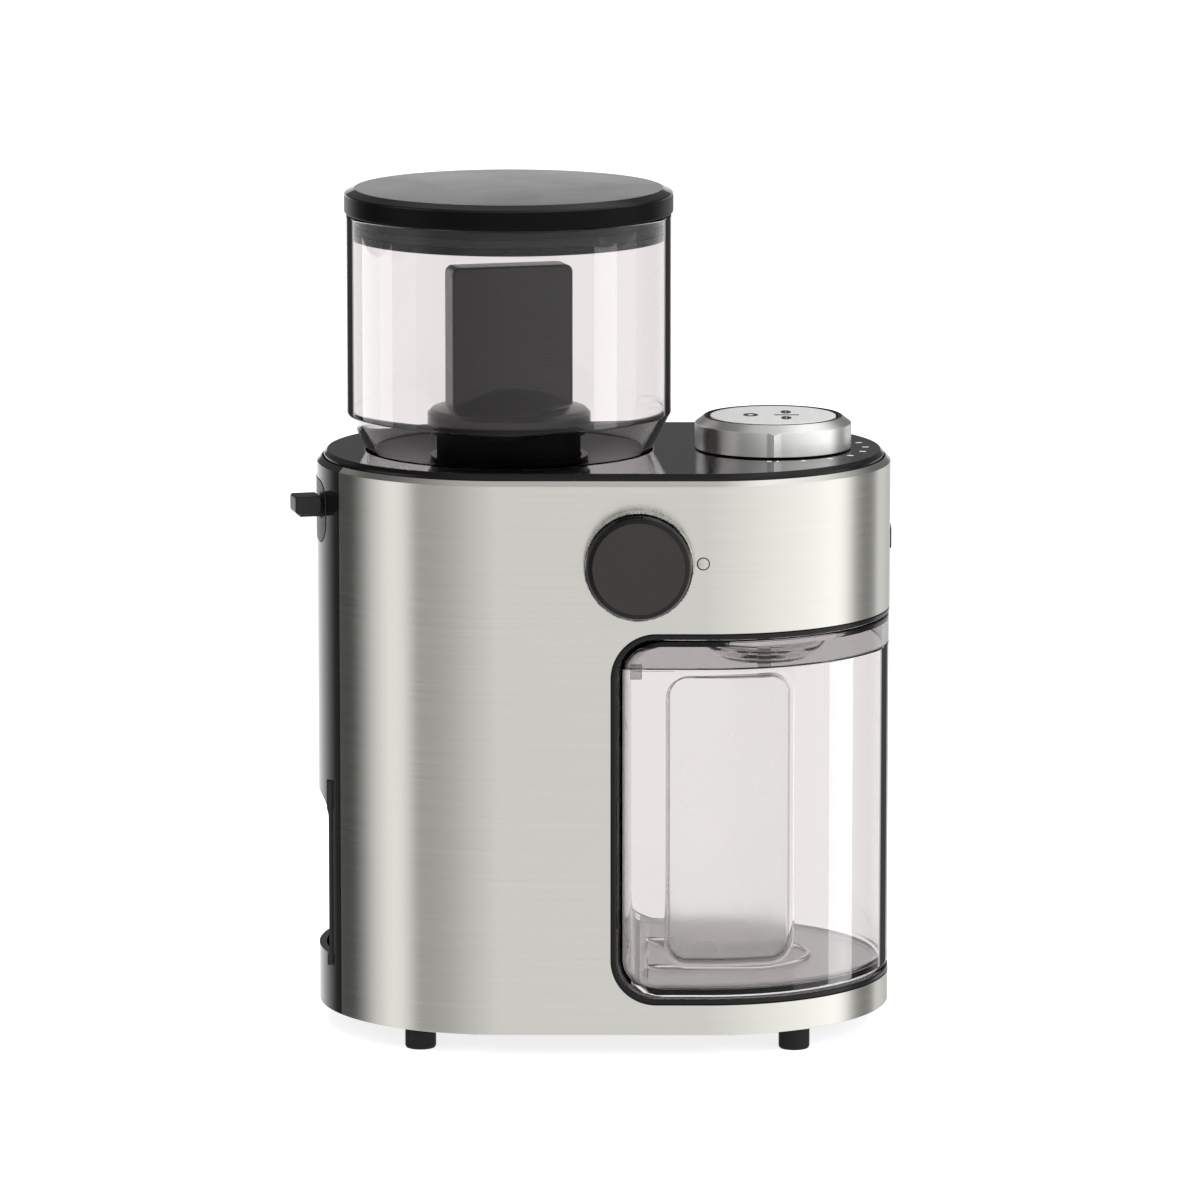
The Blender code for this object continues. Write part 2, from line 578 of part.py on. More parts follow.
def build_idler(axis):
    gear = prism("idler_gear", gear_outline(IDLER_LARGE_TEETH, FIRST_MODULE, -90), 124, 131.5, "white", axis)
    small = gear_outline(IDLER_SMALL_TEETH, FINAL_MODULE, IDLER_ANGLE + 180 + 180 / IDLER_SMALL_TEETH)
    join(gear, prism("idler_small_gear", small, 128, 142, None, axis))
    cut(gear, rod("idler_bore_cutter", PIN_RADIUS + GAP, 120, 145, axis, steps=12))


def build_motor(root, axis):
    lathe("motor_rotor", [(0, 22), (2.5, 22), (2.5, 40), (21.5, 40), (21.5, 84), (9, 84), (9, 96),
                          (2.5, 96), (2.5, 133), (0, 133)], "copper", axis, 20)
    teeth = gear_outline(PINION_TEETH, FIRST_MODULE, 90 + 180 / PINION_TEETH)
    pinion = prism("motor_pinion", teeth, 123, 132.5, "brass", axis)
    cut(pinion, rod("pinion_bore_cutter", PIN_RADIUS + GAP, 120, 135, axis, steps=12))
    fixed = add_axis("motor_mount_axis", MOTOR_X, MOTOR_Y, parent=root)
    lathe("motor_can", [(2.9, 26), (30, 26), (30, 104), (28.4, 104), (28.4, 28), (2.9, 28)], "bright",
          fixed, 24)
    lathe("field_magnet", [(22.5, 36), (28.1, 36), (28.1, 88), (22.5, 88)], "charcoal", fixed, 24)
    lathe("motor_top_cap", [(2.9, 104.3), (30, 104.3), (30, 108), (14, 108), (14, 114.7), (11, 114.7),
                            (11, 108), (2.9, 108)], "black", fixed, 24)
    lathe("motor_cradle", [(20, 11.1), (31.6, 11.1), (31.6, 30), (30.3, 30), (30.3, 25.7), (20, 25.7)],
          "rubber", fixed, 24)


# ---------------------------------------------------------------- controls

def build_dial(dial_axis, cap_axis, root):
    base = PLATE_TOP + 0.4
    ring = lathe("dial_ring", [(2.9, 178), (4.6, 178), (4.6, base), (25.9, base), (25.9, 201.6),
                               (22.7, 204), (22.7, 196.4), (2.9, 196.4)], "silver", dial_axis, ROUND)
    wedge = [(-2.1, -25.0), (0, -26.8), (2.1, -25.0)]
    join(ring, prism("pointer_ridge", wedge, 193.8, 202.4, None, dial_axis))
    lathe("dial_cap", [(0, 203.9), (20.8, 203.9), (20.8, 201.4), (2.5, 201.4), (2.5, 177), (0, 177)],
          "silver", cap_axis, ROUND)
    encoder = block("dial_encoder", (DIAL_X - 11, -11, 172), (DIAL_X + 11, 11, 186), "black", root)
    join(encoder, rod("encoder_bush", 8, 184, 188.7, root, DIAL_X, 0, 16))
    cut(encoder, rod("encoder_bore_cutter", 5.0, 160, 195, root, DIAL_X, 0, 16))


def build_start_button(button_axis, root):
    fixed = add_axis("button_mount_axis", BUTTON_X, 0, CONTROL_Z, root, tilt=90)
    lathe("start_button", [(0, BUTTON_FACE), (15, BUTTON_FACE), (16.5, BUTTON_FACE - 0.7),
                           (BUTTON_RADIUS, BUTTON_FACE - 2.2), (BUTTON_RADIUS, 64.5), (6, 64.5), (6, 52),
                           (0, 52)], "charcoal", button_axis, 28)
    lathe("button_ring", [(17.4, 61.3), (18.0, 61.3), (18.0, 68), (17.4, 68)], "clear", fixed, 28)
    coil("button_spring", 8.6, 0.5, 58.1, 63.7, 3, "bright", fixed)
    bracket = prism("button_bracket", rounded_rectangle(-19, -14, 19, 14, 3, 2), 54.5, 57.0, "black", fixed)
    cut(bracket, rod("bracket_bore_cutter", 6.4, 50, 60, fixed, steps=16))
    board = block("switch_board", (-22, -15, 45.2), (26, 15, 46.8), "board", fixed)
    join(board, block("start_switch_body", (-4, -4, 46), (4, 4, 49.2), None, fixed))
    lens = rod("indicator_lens", 1.5, 47.2, 61.3, fixed, INDICATOR_X - BUTTON_X, 0, 10, "clear")
    lens.data.shade_smooth()


def build_control_board(root):
    board = block("control_board", (8, 18, 150), (60, 46, 151.6), "board", root)
    join(board, block("relay", (12, 24, 151), (27, 40, 166), None, root),
         rod("capacitor", 6, 151, 174, root, 44, 34, 16),
         block("heat_sink", (54, 20, 151), (57, 42, 170), None, root))


# ---------------------------------------------------------------- container

def container_solid(name, shrink, low, high, finish, slide):
    """The container's outer shape, or its hollow, between two heights; its left end is rounded."""
    left = BAY_LEFT + CONTAINER_MARGIN + shrink
    plan = bay_plan(left, CONTAINER_INSET + shrink, CONTAINER_CORNER - shrink)
    solid = prism(name, plan, low, high, finish, slide)
    side = bay_outline(CONTAINER_MARGIN + shrink, BAY_CORNER - CONTAINER_MARGIN - shrink)
    return boolean(solid, "INTERSECT", prism(f"{name}_side_guide", side, -80, 80, None, slide, "Y"))


def build_container(slide):
    container = container_solid("container", 0, 0, CONTAINER_RIM, "clear", slide)
    cut(container, container_solid("container_hollow", CONTAINER_WALL, 0, 160, None, slide))
    lid = container_solid("container_lid", 0, CONTAINER_RIM + GAP, 160, "smoke", slide)
    lid_top = BAY_TOP - CONTAINER_MARGIN
    cut(lid, container_solid("lid_hollow", CONTAINER_WALL, 0, 160, None, slide))
    inlet = add_axis("inlet_axis", INLET_X, 0, parent=slide)
    cut(lid, rod("inlet_cutter", 21.4, 125, 145, inlet, steps=24))
    join(lid, lathe("inlet_dish", [(22.4, lid_top - 1.8), (22.4, 132), (20, 127), (14, 123), (7, 121.6),
                                   (7, 123.6), (13.2, 125), (18.2, 128.4), (20.4, 132.6),
                                   (20.4, lid_top - 0.2), (22.4, lid_top - 0.2)], None, inlet, 24))


def main():
    for obj in list(bpy.data.objects):
        bpy.data.objects.remove(obj)
    root = add_axis("grinder", *ORIGIN_SHIFT)
    hopper_axis = add_axis("hopper_axis", HOPPER_X, 0, parent=root)
    dial_axis = add_axis("dial_axis", DIAL_X, 0, parent=root)
    button_axis = add_axis("button_axis", BUTTON_X, 0, CONTROL_Z, root, tilt=90)
    container_slide = add_axis("container_slide", 0, 0, parent=root)
    build_shells(root)
    build_top_plate(root, hopper_axis, dial_axis)
    build_base(root)
    build_bay(root)
    build_fittings(root)
    build_hopper(hopper_axis)
    build_hopper_key(add_axis("key_axis", HOPPER_X, 0, parent=root))
    build_carrier(add_axis("carrier_axis", HOPPER_X, 0, parent=root))
    build_spindle(add_axis("spindle_axis", HOPPER_X, 0, parent=root))
    build_chamber(root, add_axis("chamber_axis", HOPPER_X, 0, parent=root))
    build_gearbox(root)
    build_idler(add_axis("idler_axis", IDLER_X, IDLER_Y, parent=root))
    build_motor(root, add_axis("motor_axis", MOTOR_X, MOTOR_Y, parent=root))
    build_dial(dial_axis, add_axis("cap_axis", DIAL_X, 0, parent=root), root)
    build_start_button(button_axis, root)
    build_control_board(root)
    build_container(container_slide)


main()
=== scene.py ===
"""Looks of the burr coffee grinder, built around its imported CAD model.

Sizes are millimetres in the body's own frame: X along the body with the container's bay at +X, -Y the
front, Z up from the surface it stands on, the body's middle at X 0, Y 0. ORIGIN moves them to the frame.
"""
import math

import bmesh
import bpy
from mathutils import Matrix, Vector


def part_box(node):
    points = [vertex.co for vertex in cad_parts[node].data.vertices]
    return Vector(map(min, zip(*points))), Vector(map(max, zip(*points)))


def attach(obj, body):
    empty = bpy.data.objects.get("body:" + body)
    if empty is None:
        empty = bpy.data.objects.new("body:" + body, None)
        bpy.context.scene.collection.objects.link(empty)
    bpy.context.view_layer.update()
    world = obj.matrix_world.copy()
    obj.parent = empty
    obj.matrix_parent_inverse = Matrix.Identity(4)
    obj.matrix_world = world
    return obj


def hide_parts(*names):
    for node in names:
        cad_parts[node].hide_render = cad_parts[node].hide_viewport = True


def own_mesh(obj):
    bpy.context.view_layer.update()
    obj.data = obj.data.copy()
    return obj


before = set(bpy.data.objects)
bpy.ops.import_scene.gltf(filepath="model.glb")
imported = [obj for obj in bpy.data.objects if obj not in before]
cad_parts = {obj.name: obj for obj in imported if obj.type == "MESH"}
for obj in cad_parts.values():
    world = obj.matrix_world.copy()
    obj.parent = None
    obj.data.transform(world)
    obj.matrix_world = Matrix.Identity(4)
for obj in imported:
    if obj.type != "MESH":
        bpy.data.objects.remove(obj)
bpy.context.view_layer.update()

MM = 0.001
BODY_RADIUS, ARC_CENTRE = 61.0, 34.0
HALF_TURN = math.pi * BODY_RADIUS
OUTLINE = 2 * HALF_TURN + 4 * ARC_CENTRE  # the body's outline, once around
shell_low, shell_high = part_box("steel_shell")
ORIGIN = Vector((shell_high.x / MM - ARC_CENTRE - BODY_RADIUS, shell_low.y / MM + BODY_RADIUS, 0))

SHELL_BOTTOM, BEVEL_START, BEVEL = 7.5, 189.2, 2.0
SHELL_TOP = BEVEL_START + BEVEL
STEEL, COVER = 1.2, 2.4  # thickness of the steel wrap and of the black cover
SEAM_ANGLE, SEAM_GAP = 30.5, 0.32
PLATE_TOP = 193.0
HOPPER, DIAL = (-31.3, 0.0), (56.0, 0.0)
WELL_RADIUS, WELL_FLOOR = 47.4, 186.0
KEY_WINDOWS = (-40, -11, 191.5), (40, 11, 199)
BAY_LEFT, BAY_BOTTOM, BAY_TOP, BAY_CORNER = 2.6, 17.5, 140.9, 15.0
TRIM, GAP = 2.0, 0.3
BUTTON_X, CONTROL_Z, INDICATOR_X = 11.8, 164.0, 32.7
SELECTOR = (-21.0, 163.7, 21.0, 184.0, 7.0)  # in Y and Z on the left end, then its corners
PLUG = (-2.0, 159.4, 10.0, 166.6, 1.2)  # the same on the right end
CORD = (-22.0, 22.0)  # in X and Z on the back
RIDGE_RADIUS = 21.5  # the guide ridge under the container
INLET = (53.0, 0.0)
FOOT_PLACES = {"front_left": (-60, -45), "front_right": (63, -45),
               "rear_left": (-60, 45), "rear_right": (63, 45)}
# How far cutters reach: through the whole body from front to back, or through one wall
THROUGH, FRONT_WALL, REAR_WALL = (-80, 80), (-70, -50), (50, 70)
LEFT_WALL, RIGHT_WALL = (-110, -80), (80, 110)


# ---- outlines

def polar(radius, degrees, x=0.0, y=0.0):
    angle = math.radians(degrees)
    return (x + radius * math.cos(angle), y + radius * math.sin(angle))


def arc(x, y, radius, start, end, steps):
    return [polar(radius, start + (end - start) * i / steps, x, y) for i in range(steps + 1)]


def circle(radius, steps, x=0.0, y=0.0):
    return arc(x, y, radius, 0, 360, steps)[:-1]


def rounded_rectangle(x0, z0, x1, z1, radius, steps=8):
    corners = [(x1 - radius, z0 + radius, -90), (x1 - radius, z1 - radius, 0),
               (x0 + radius, z1 - radius, 90), (x0 + radius, z0 + radius, 180)]
    return [p for x, z, start in corners for p in arc(x, z, radius, start, start + 90, steps)]


def fillet(corners, steps):
    """Round a closed outline's corners; each is (x, z), or (x, z, radius) where it is rounded."""
    points = []
    for i, (x, z, *rounding) in enumerate(corners):
        if not rounding:
            points.append((x, z))
            continue
        radius, here = rounding[0], Vector((x, z))
        back = (Vector(corners[i - 1][:2]) - here).normalized()
        ahead = (Vector(corners[(i + 1) % len(corners)][:2]) - here).normalized()
        half = back.angle(ahead) / 2
        centre = here + (back + ahead).normalized() * radius / math.sin(half)
        first = here + back * radius / math.tan(half) - centre
        last = here + ahead * radius / math.tan(half) - centre
        start = math.degrees(math.atan2(first.y, first.x))
        turn = (math.degrees(math.atan2(last.y, last.x)) - start + 180) % 360 - 180
        points += arc(centre.x, centre.y, radius, start, start + turn, steps)
    return points


def on_body(along, inset):
    """(x, y) at a distance along the body's outline, measured from its front middle to the right."""
    along = (along + ARC_CENTRE) % OUTLINE - ARC_CENTRE
    radius = BODY_RADIUS - inset
    if along <= ARC_CENTRE:
        return (along, -radius)
    along -= ARC_CENTRE
    if along <= HALF_TURN:
        return polar(radius, math.degrees(along / BODY_RADIUS) - 90, ARC_CENTRE)
    along -= HALF_TURN
    if along <= 2 * ARC_CENTRE:
        return (ARC_CENTRE - along, radius)
    return polar(radius, math.degrees((along - 2 * ARC_CENTRE) / BODY_RADIUS) + 90, -ARC_CENTRE)


def right_end(degrees):
    """Distance along the outline to an angle on the right end, which starts at 0 in front."""
    return ARC_CENTRE + BODY_RADIUS * math.radians(degrees)


def stations(start, end, step=1.7):
    """Distances from start to end, dense enough for the round ends, with the flats' ends among them."""
    corners = [start, end]
    for turn in (-OUTLINE, 0, OUTLINE):
        for corner in (-ARC_CENTRE, ARC_CENTRE, ARC_CENTRE + HALF_TURN, 3 * ARC_CENTRE + HALF_TURN):
            if start + 0.01 < corner + turn < end - 0.01:
                corners.append(corner + turn)
    corners.sort()
    found = []
    for low, high in zip(corners, corners[1:]):
        count = max(1, round((high - low) / step))
        found += [low + (high - low) * i / count for i in range(count)]
    return found + [end]


def stadium(inset):
    return [on_body(along, inset) for along in stations(-ARC_CENTRE, OUTLINE - ARC_CENTRE)[:-1]]


def grown(rectangle, margin=0.0):
    """A rounded rectangle, given by its corners and their radius, made larger all around."""
    x0, z0, x1, z1, radius = rectangle
    return rounded_rectangle(x0 - margin, z0 - margin, x1 + margin, z1 + margin, radius + margin)


def u_shape(start, end, radius, half_width):
    """A U-shaped ridge that opens to the left."""
    outer, inner = radius + half_width, radius - half_width
    return ([(start, -outer)] + arc(end, 0, outer, -90, 90, 48) + [(start, outer), (start, inner)]
            + arc(end, 0, inner, 90, -90, 48) + [(start, -inner)])


# ---- meshes

def add_mesh(name, rows, closed=False, caps=False, place=(0.0, 0.0, 0.0)):
    """An object from closed rows of points in millimetres about place; a row of one point is a pole."""
    bm = bmesh.new()
    made = [[bm.verts.new(Vector(p) * MM) for p in row] for row in rows]
    count = len(made)
    for i in range(count if closed else count - 1):
        low, high = made[i], made[(i + 1) % count]
        width = max(len(low), len(high))
        for j in range(width):
            k = (j + 1) % width
            corners = [low[j % len(low)], low[k % len(low)], high[k % len(high)], high[j % len(high)]]
            if len(set(corners)) > 2:
                bm.faces.new(list(dict.fromkeys(corners)))
    if caps:
        bm.faces.new(made[0])
        bm.faces.new(made[-1])
    bmesh.ops.recalc_face_normals(bm, faces=bm.faces)
    mesh = bpy.data.meshes.new(name)
    bm.to_mesh(mesh)
    bm.free()
    obj = bpy.data.objects.new(name, mesh)
    bpy.context.scene.collection.objects.link(obj)
    obj.location = (Vector(place) + ORIGIN) * MM
    return obj


def lathe(name, profile, place, steps=160, around=None):
    """Turn a closed profile of (radius, height) about a vertical axis; around(step, radius) gives a length
    to add to a radius, for flutes."""
    rows = []
    for radius, height in profile:
        if radius == 0:
            rows.append([(0.0, 0.0, height)])
            continue
        row = []
        for i in range(steps):
            extra = around(i, radius) if around else 0.0
            row.append((*polar(radius + extra, 360 * i / steps), height))
        rows.append(row)
    closed = profile[0][0] > 0 or profile[-1][0] > 0
    return add_mesh(name, rows, closed, place=(*place, 0.0))


def prism(name, outline, low, high, axis="Z", place=(0.0, 0.0, 0.0)):
    """Extrude an outline in (x, y), (x, z) or (y, z) along the axis that is left."""
    rows = []
    for w in (low, high):
        if axis == "Z":
            rows.append([(u, v, w) for u, v in outline])
        elif axis == "Y":
            rows.append([(u, w, v) for u, v in outline])
        else:
            rows.append([(w, u, v) for u, v in outline])
    return add_mesh(name, rows, caps=True, place=place)


def block(name, low, high, place=(0.0, 0.0, 0.0)):
    outline = [(low[0], low[1]), (high[0], low[1]), (high[0], high[1]), (low[0], high[1])]
    return prism(name, outline, low[2], high[2], place=place)


def loft(name, rings):
    """A solid through rings of (outline, height), capped at both ends."""
    rows = [[(x, y, height) for x, y in outline] for outline, height in rings]
    return add_mesh(name, rows, caps=True)


def body_wall(name, section, start, end, step=1.7):
    """Sweep a section of (inset, height) along the body's outline."""
    rows = []
    for along in stations(start, end, step):
        rows.append([(*on_body(along, inset), height) for inset, height in section])
    return add_mesh(name, rows, caps=True)


def bake(obj):
    """Replace an object's mesh with what its modifiers make of it."""
    bpy.context.view_layer.update()
    graph = bpy.context.evaluated_depsgraph_get()
    mesh = bpy.data.meshes.new_from_object(obj.evaluated_get(graph), depsgraph=graph)
    obj.modifiers.clear()
    obj.data = mesh


def carve(target, *tools, operation="DIFFERENCE"):
    """Cut tools out of a target, or join them to it, and delete them."""
    for tool in tools:
        modifier = target.modifiers.new(tool.name, "BOOLEAN")
        modifier.operation = operation
        modifier.object = tool
        modifier.solver = "EXACT"
    bake(target)
    for tool in tools:
        bpy.data.objects.remove(tool)


def join(target, *tools):
    carve(target, *tools, operation="UNION")


def merge(target, others):
    """Put separate small shapes into one piece."""
    bpy.context.view_layer.update()
    bm = bmesh.new()
    for obj in [target, *others]:
        copy = obj.data.copy()
        copy.transform(target.matrix_world.inverted() @ obj.matrix_world)
        bm.from_mesh(copy)
        bpy.data.meshes.remove(copy)
    bm.to_mesh(target.data)
    bm.free()
    for obj in others:
        bpy.data.objects.remove(obj)


def lay_along_y(obj, place, direction=-1):
    """Turn a lathed piece's axis from up to the front (-1) or to the back (1), about place."""
    for vertex in obj.data.vertices:
        x, y, z = vertex.co
        vertex.co = (x, direction * z, y)
    obj.location = (Vector(place) + ORIGIN) * MM
    bm = bmesh.new()
    bm.from_mesh(obj.data)
    bmesh.ops.recalc_face_normals(bm, faces=bm.faces)
    bm.to_mesh(obj.data)
    bm.free()


def soften(obj, width, steps=3):
    """Round every sharp edge."""
    modifier = obj.modifiers.new("soften", "BEVEL")
    modifier.width = width * MM
    modifier.segments = steps
    modifier.limit_method = "ANGLE"
    modifier.angle_limit = math.radians(40)
    bake(obj)


def shade(obj, angle):
    """Smooth shading that keeps flat faces flat and real edges sharp."""
    obj.data.shade_smooth()
    obj.data.set_sharp_from_angle(angle=math.radians(angle))
    modifier = obj.modifiers.new("normals", "WEIGHTED_NORMAL")
    modifier.keep_sharp = True
    modifier.weight = 80
    bake(obj)


def true_wall_normals(obj):
    """Give the body's outer wall the exact directions of its outline, for clean reflections."""
    mesh = obj.data
    normals = [Vector(corner.vector) for corner in mesh.corner_normals]
    for polygon in mesh.polygons:
        if abs(polygon.normal.z) > 0.2:
            continue
        outwards = []
        for index in polygon.vertices:
            point = (obj.matrix_world @ mesh.vertices[index].co) / MM - ORIGIN
            middle = max(-ARC_CENTRE, min(ARC_CENTRE, point.x))
            outwards.append(Vector((point.x - middle, point.y, 0)))
        if min(v.length for v in outwards) > BODY_RADIUS - 0.1 and polygon.normal.dot(outwards[0]) > 0:
            for loop, outward in zip(polygon.loop_indices, outwards):
                normals[loop] = outward.normalized()
    mesh.normals_split_custom_set(normals)


def add_piece(obj, body, slot, nodes="", looks="", choose=None, angle=42, wall=False):
    """Shade and dress a piece, tie it to its body and let it stand for its CAD nodes.
    looks names its materials where they aren't its slot's own, and choose(centre, normal) gives the number
    of a face's material among them. wall is for a piece with the body's outer wall."""
    shade(obj, angle)
    if wall:
        true_wall_normals(obj)
    obj.data.materials.clear()
    for look in (looks or slot).split():
        obj.data.materials.append(LOOKS[look])
    if choose:
        for polygon in obj.data.polygons:
            centre = (obj.matrix_world @ polygon.center) / MM - ORIGIN
            polygon.material_index = choose(centre, polygon.normal)
    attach(obj, body)
    nodes = nodes.split()
    if nodes:
        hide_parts(*nodes)


# ---- materials

def add_node(owner, kind, inputs=None, **settings):
    """Add a shader node; inputs gives a value or another node's socket for each of its sockets."""
    new = owner.node_tree.nodes.new("ShaderNode" + kind)
    for key, value in settings.items():
        setattr(new, key, value)
    for key, value in (inputs or {}).items():
        if isinstance(value, bpy.types.NodeSocket):
            owner.node_tree.links.new(value, new.inputs[key])
        else:
            new.inputs[key].default_value = value
    return new


def combine(owner, operation, first, second):
    """One number worked out from two."""
    return add_node(owner, "Math", {0: first, 1: second}, operation=operation).outputs[0]


def set_stops(ramp, places):
    stops = ramp.color_ramp.elements
    while len(stops) < len(places):
        stops.new(1.0)
    for stop, (position, tone) in zip(stops, places):
        stop.position = position
        stop.color = (tone, tone, tone, 1.0)


def blend_colours(owner, share, first, second):
    """A colour between two, each given as a colour or as a node's socket."""
    mix = add_node(owner, "Mix", data_type="RGBA")
    owner.node_tree.links.new(share, mix.inputs["Factor"])
    for name, colour in (("A", first), ("B", second)):
        socket = [one for one in mix.inputs if one.name == name and one.type == "RGBA"][0]
        if isinstance(colour, bpy.types.NodeSocket):
            owner.node_tree.links.new(colour, socket)
        else:
            socket.default_value = (*colour, 1.0)
    return [one for one in mix.outputs if one.type == "RGBA"][0]


def connect(material, socket, name):
    shader = material.node_tree.nodes["Principled BSDF"]
    material.node_tree.links.new(socket, shader.inputs[name])


LOOKS = {}


def new_material(name, colour, roughness, **sockets):
    """Add a material to LOOKS; sockets gives further values of its shader."""
    LOOKS[name] = material = bpy.data.materials.new(name)
    material.use_nodes = True
    shader = material.node_tree.nodes["Principled BSDF"]
    shader.inputs["Base Color"].default_value = (*colour, 1.0)
    shader.inputs["Roughness"].default_value = roughness
    for key, value in sockets.items():
        shader.inputs[key.replace("_", " ")].default_value = value
    return material


def texture_space(material, stretch=(1, 1, 1)):
    coordinates = add_node(material, "TexCoord").outputs["Object"]
    return add_node(material, "Mapping", {"Vector": coordinates, "Scale": stretch}).outputs[0]


def turned_space(material, stretch):
    """Coordinates that follow the turning of a lathe: radius and height only."""
    coordinates = add_node(material, "TexCoord").outputs["Object"]
    parts = add_node(material, "SeparateXYZ", {0: coordinates}).outputs
    flat = add_node(material, "CombineXYZ", {0: parts[0], 1: parts[1], 2: 0.0}).outputs[0]
    radius = add_node(material, "VectorMath", {0: flat}, operation="LENGTH").outputs["Value"]
    both = add_node(material, "CombineXYZ", {0: radius, 1: parts[2], 2: 0.0}).outputs[0]
    return add_node(material, "Mapping", {"Vector": both, "Scale": stretch}).outputs[0]


def noise(material, space, scale, detail, rough=0.55):
    inputs = {"Vector": space, "Scale": scale, "Detail": detail, "Roughness": rough}
    return add_node(material, "TexNoise", inputs).outputs["Fac"]


def span(owner, value, low, high, start=0.25, end=0.75, **settings):
    """A value that goes from low to high while the given one goes from start to end, and no further."""
    inputs = {"Value": value, "From Min": start, "From Max": end, "To Min": low, "To Max": high}
    return add_node(owner, "MapRange", inputs, **settings).outputs["Result"]


def bump(material, height, strength, depth):
    """Relief of depth millimetres at most."""
    inputs = {"Height": height, "Strength": strength, "Distance": depth * MM}
    connect(material, add_node(material, "Bump", inputs).outputs["Normal"], "Normal")


def vary_colour(material, share, colour, contrast):
    """A colour that goes from a little darker to a little lighter."""
    ends = [tuple(min(1.0, channel * (1 + sign * contrast)) for channel in colour) for sign in (-1, 1)]
    connect(material, blend_colours(material, share, *ends), "Base Color")


def plastic(name, colour, roughness, grain, depth, variation=0.06, **sockets):
    """Moulded plastic: a fine spark-eroded grain, and gloss that varies a little over the surface."""
    material = new_material(name, colour, roughness, **sockets)
    space = texture_space(material)
    broad = noise(material, space, 45.0, 2.0)
    fine = noise(material, space, 1 / (grain * MM), 2.0)
    connect(material, span(material, broad, roughness * 0.92, roughness * 1.1), "Roughness")
    vary_colour(material, broad, colour, variation)
    bump(material, fine, 0.35, depth)
    return material


def brushed(name, colour, roughness, space_maker, stretch, anisotropy, contrast, metallic=1.0):
    """Metal with fine grooves along one direction, and rougher streaks among them."""
    material = new_material(name, colour, roughness, Metallic=metallic)
    space = space_maker(material, stretch)
    fine = noise(material, space, 1.0, 4.0, 0.6)
    coarse = noise(material, space, 0.22, 3.0)
    both = combine(material, "ADD", fine, coarse)
    vary_colour(material, span(material, both, 0, 1, 0.7, 1.3), colour, contrast)
    connect(material, span(material, both, roughness * 0.85, roughness * 1.2, 0.7, 1.3), "Roughness")
    bump(material, fine, 0.25, 0.004)
    if anisotropy:
        shader = material.node_tree.nodes["Principled BSDF"]
        shader.inputs["Anisotropic"].default_value = anisotropy
        shader.inputs["Anisotropic Rotation"].default_value = 0.25
        tangent = add_node(material, "Tangent", direction_type="RADIAL", axis="Z")
        connect(material, tangent.outputs[0], "Tangent")


def clear(name, colour, roughness, grain=0.0, painted_edge_shade=False):
    """Clear polished plastic, with the faint waviness of a moulded wall. When asked, a black line of painted
    shade is drawn just inside the silhouette, where the thick wall is seen along its length."""
    material = new_material(name, colour, roughness, IOR=1.33, Transmission_Weight=1.0)
    space = texture_space(material)
    broad = noise(material, space, 30.0, 2.0)
    varied = span(material, broad, roughness * 0.8, roughness * 1.3)
    if painted_edge_shade:
        # painted shade: at the angles where the wall is seen edge-on, the colour turns black and the plastic
        # opaque
        facing = add_node(material, "LayerWeight", {"Blend": 0.5}).outputs["Facing"]
        line = add_node(material, "ValToRGB", {"Fac": facing})
        set_stops(line, [(0.69, 0.0), (0.735, 1.0), (0.86, 1.0), (0.91, 0.0)])
        share = line.outputs["Color"]
        connect(material, blend_colours(material, share, colour, (0.012, 0.011, 0.010)), "Base Color")
        connect(material, span(material, share, 1.0, 0.0, 0.0, 1.0), "Transmission Weight")
        varied = combine(material, "MAXIMUM", varied, share)
    connect(material, varied, "Roughness")
    if grain:
        bump(material, noise(material, space, 1 / (grain * MM), 2.0), 0.3, 0.01)


STEEL_COLOUR = (0.708, 0.699, 0.652)
DIM = {"Specular_IOR_Level": 0.28}  # black mouldings mirror less than plain plastic does
brushed("brushed_steel", STEEL_COLOUR, 0.20, texture_space, (45, 45, 4200), 0.55, 0.022)
brushed("dial_metal", (0.87, 0.87, 0.85), 0.33, turned_space, (5200, 5200, 1), 0.5, 0.015)
brushed("cap_metal", (0.90, 0.90, 0.89), 0.40, texture_space, (3000, 90, 1), 0.0, 0.02, 0.1)
brushed("bare_metal", (0.55, 0.56, 0.58), 0.34, texture_space, (300, 300, 2500), 0.0, 0.06)
brushed("brass", (0.71, 0.53, 0.25), 0.33, texture_space, (300, 300, 2500), 0.0, 0.06)
brushed("armature", (0.45, 0.30, 0.21), 0.42, texture_space, (200, 200, 2200), 0.0, 0.25)
plastic("gloss_black", (0.0035, 0.0035, 0.0035), 0.06, 2.5, 0.002, **DIM)
plastic("cover_black", (0.004, 0.004, 0.004), 0.05, 2.5, 0.002)
# black that mirrors little: the hopper lid's rim and skirt, and painted shade on the hopper's foot in the
# well, the key's tube and the throat collar
plastic("deep_black", (0.003, 0.003, 0.003), 0.30, 2.5, 0.001, Specular_IOR_Level=0.06)
plastic("satin_lid", (0.010, 0.0092, 0.0082), 0.20, 0.4, 0.0005)
plastic("black_plastic", (0.010, 0.010, 0.010), 0.34, 0.4, 0.008, **DIM)
plastic("button_plastic", (0.030, 0.026, 0.023), 0.50, 0.3, 0.006, **DIM)
plastic("key_plastic", (0.012, 0.0095, 0.008), 0.22, 6.0, 0.0, 0.02, **DIM)
plastic("grey_plastic", (0.165, 0.152, 0.145), 0.38, 0.4, 0.008, **DIM)
# pale grey on the guide ridge's top: a painted highlight, so the ridge shows as bright lines through the
# container's floor
plastic("worn_ridge", (0.60, 0.58, 0.56), 0.25, 0.4, 0.002)
# pale glossy colour for the bay's wall, a black part: painted light, so the wall shows as a bright strip
# beside the container
plastic("pale_plastic", (0.80, 0.79, 0.78), 0.06, 0.5, 0.0005)
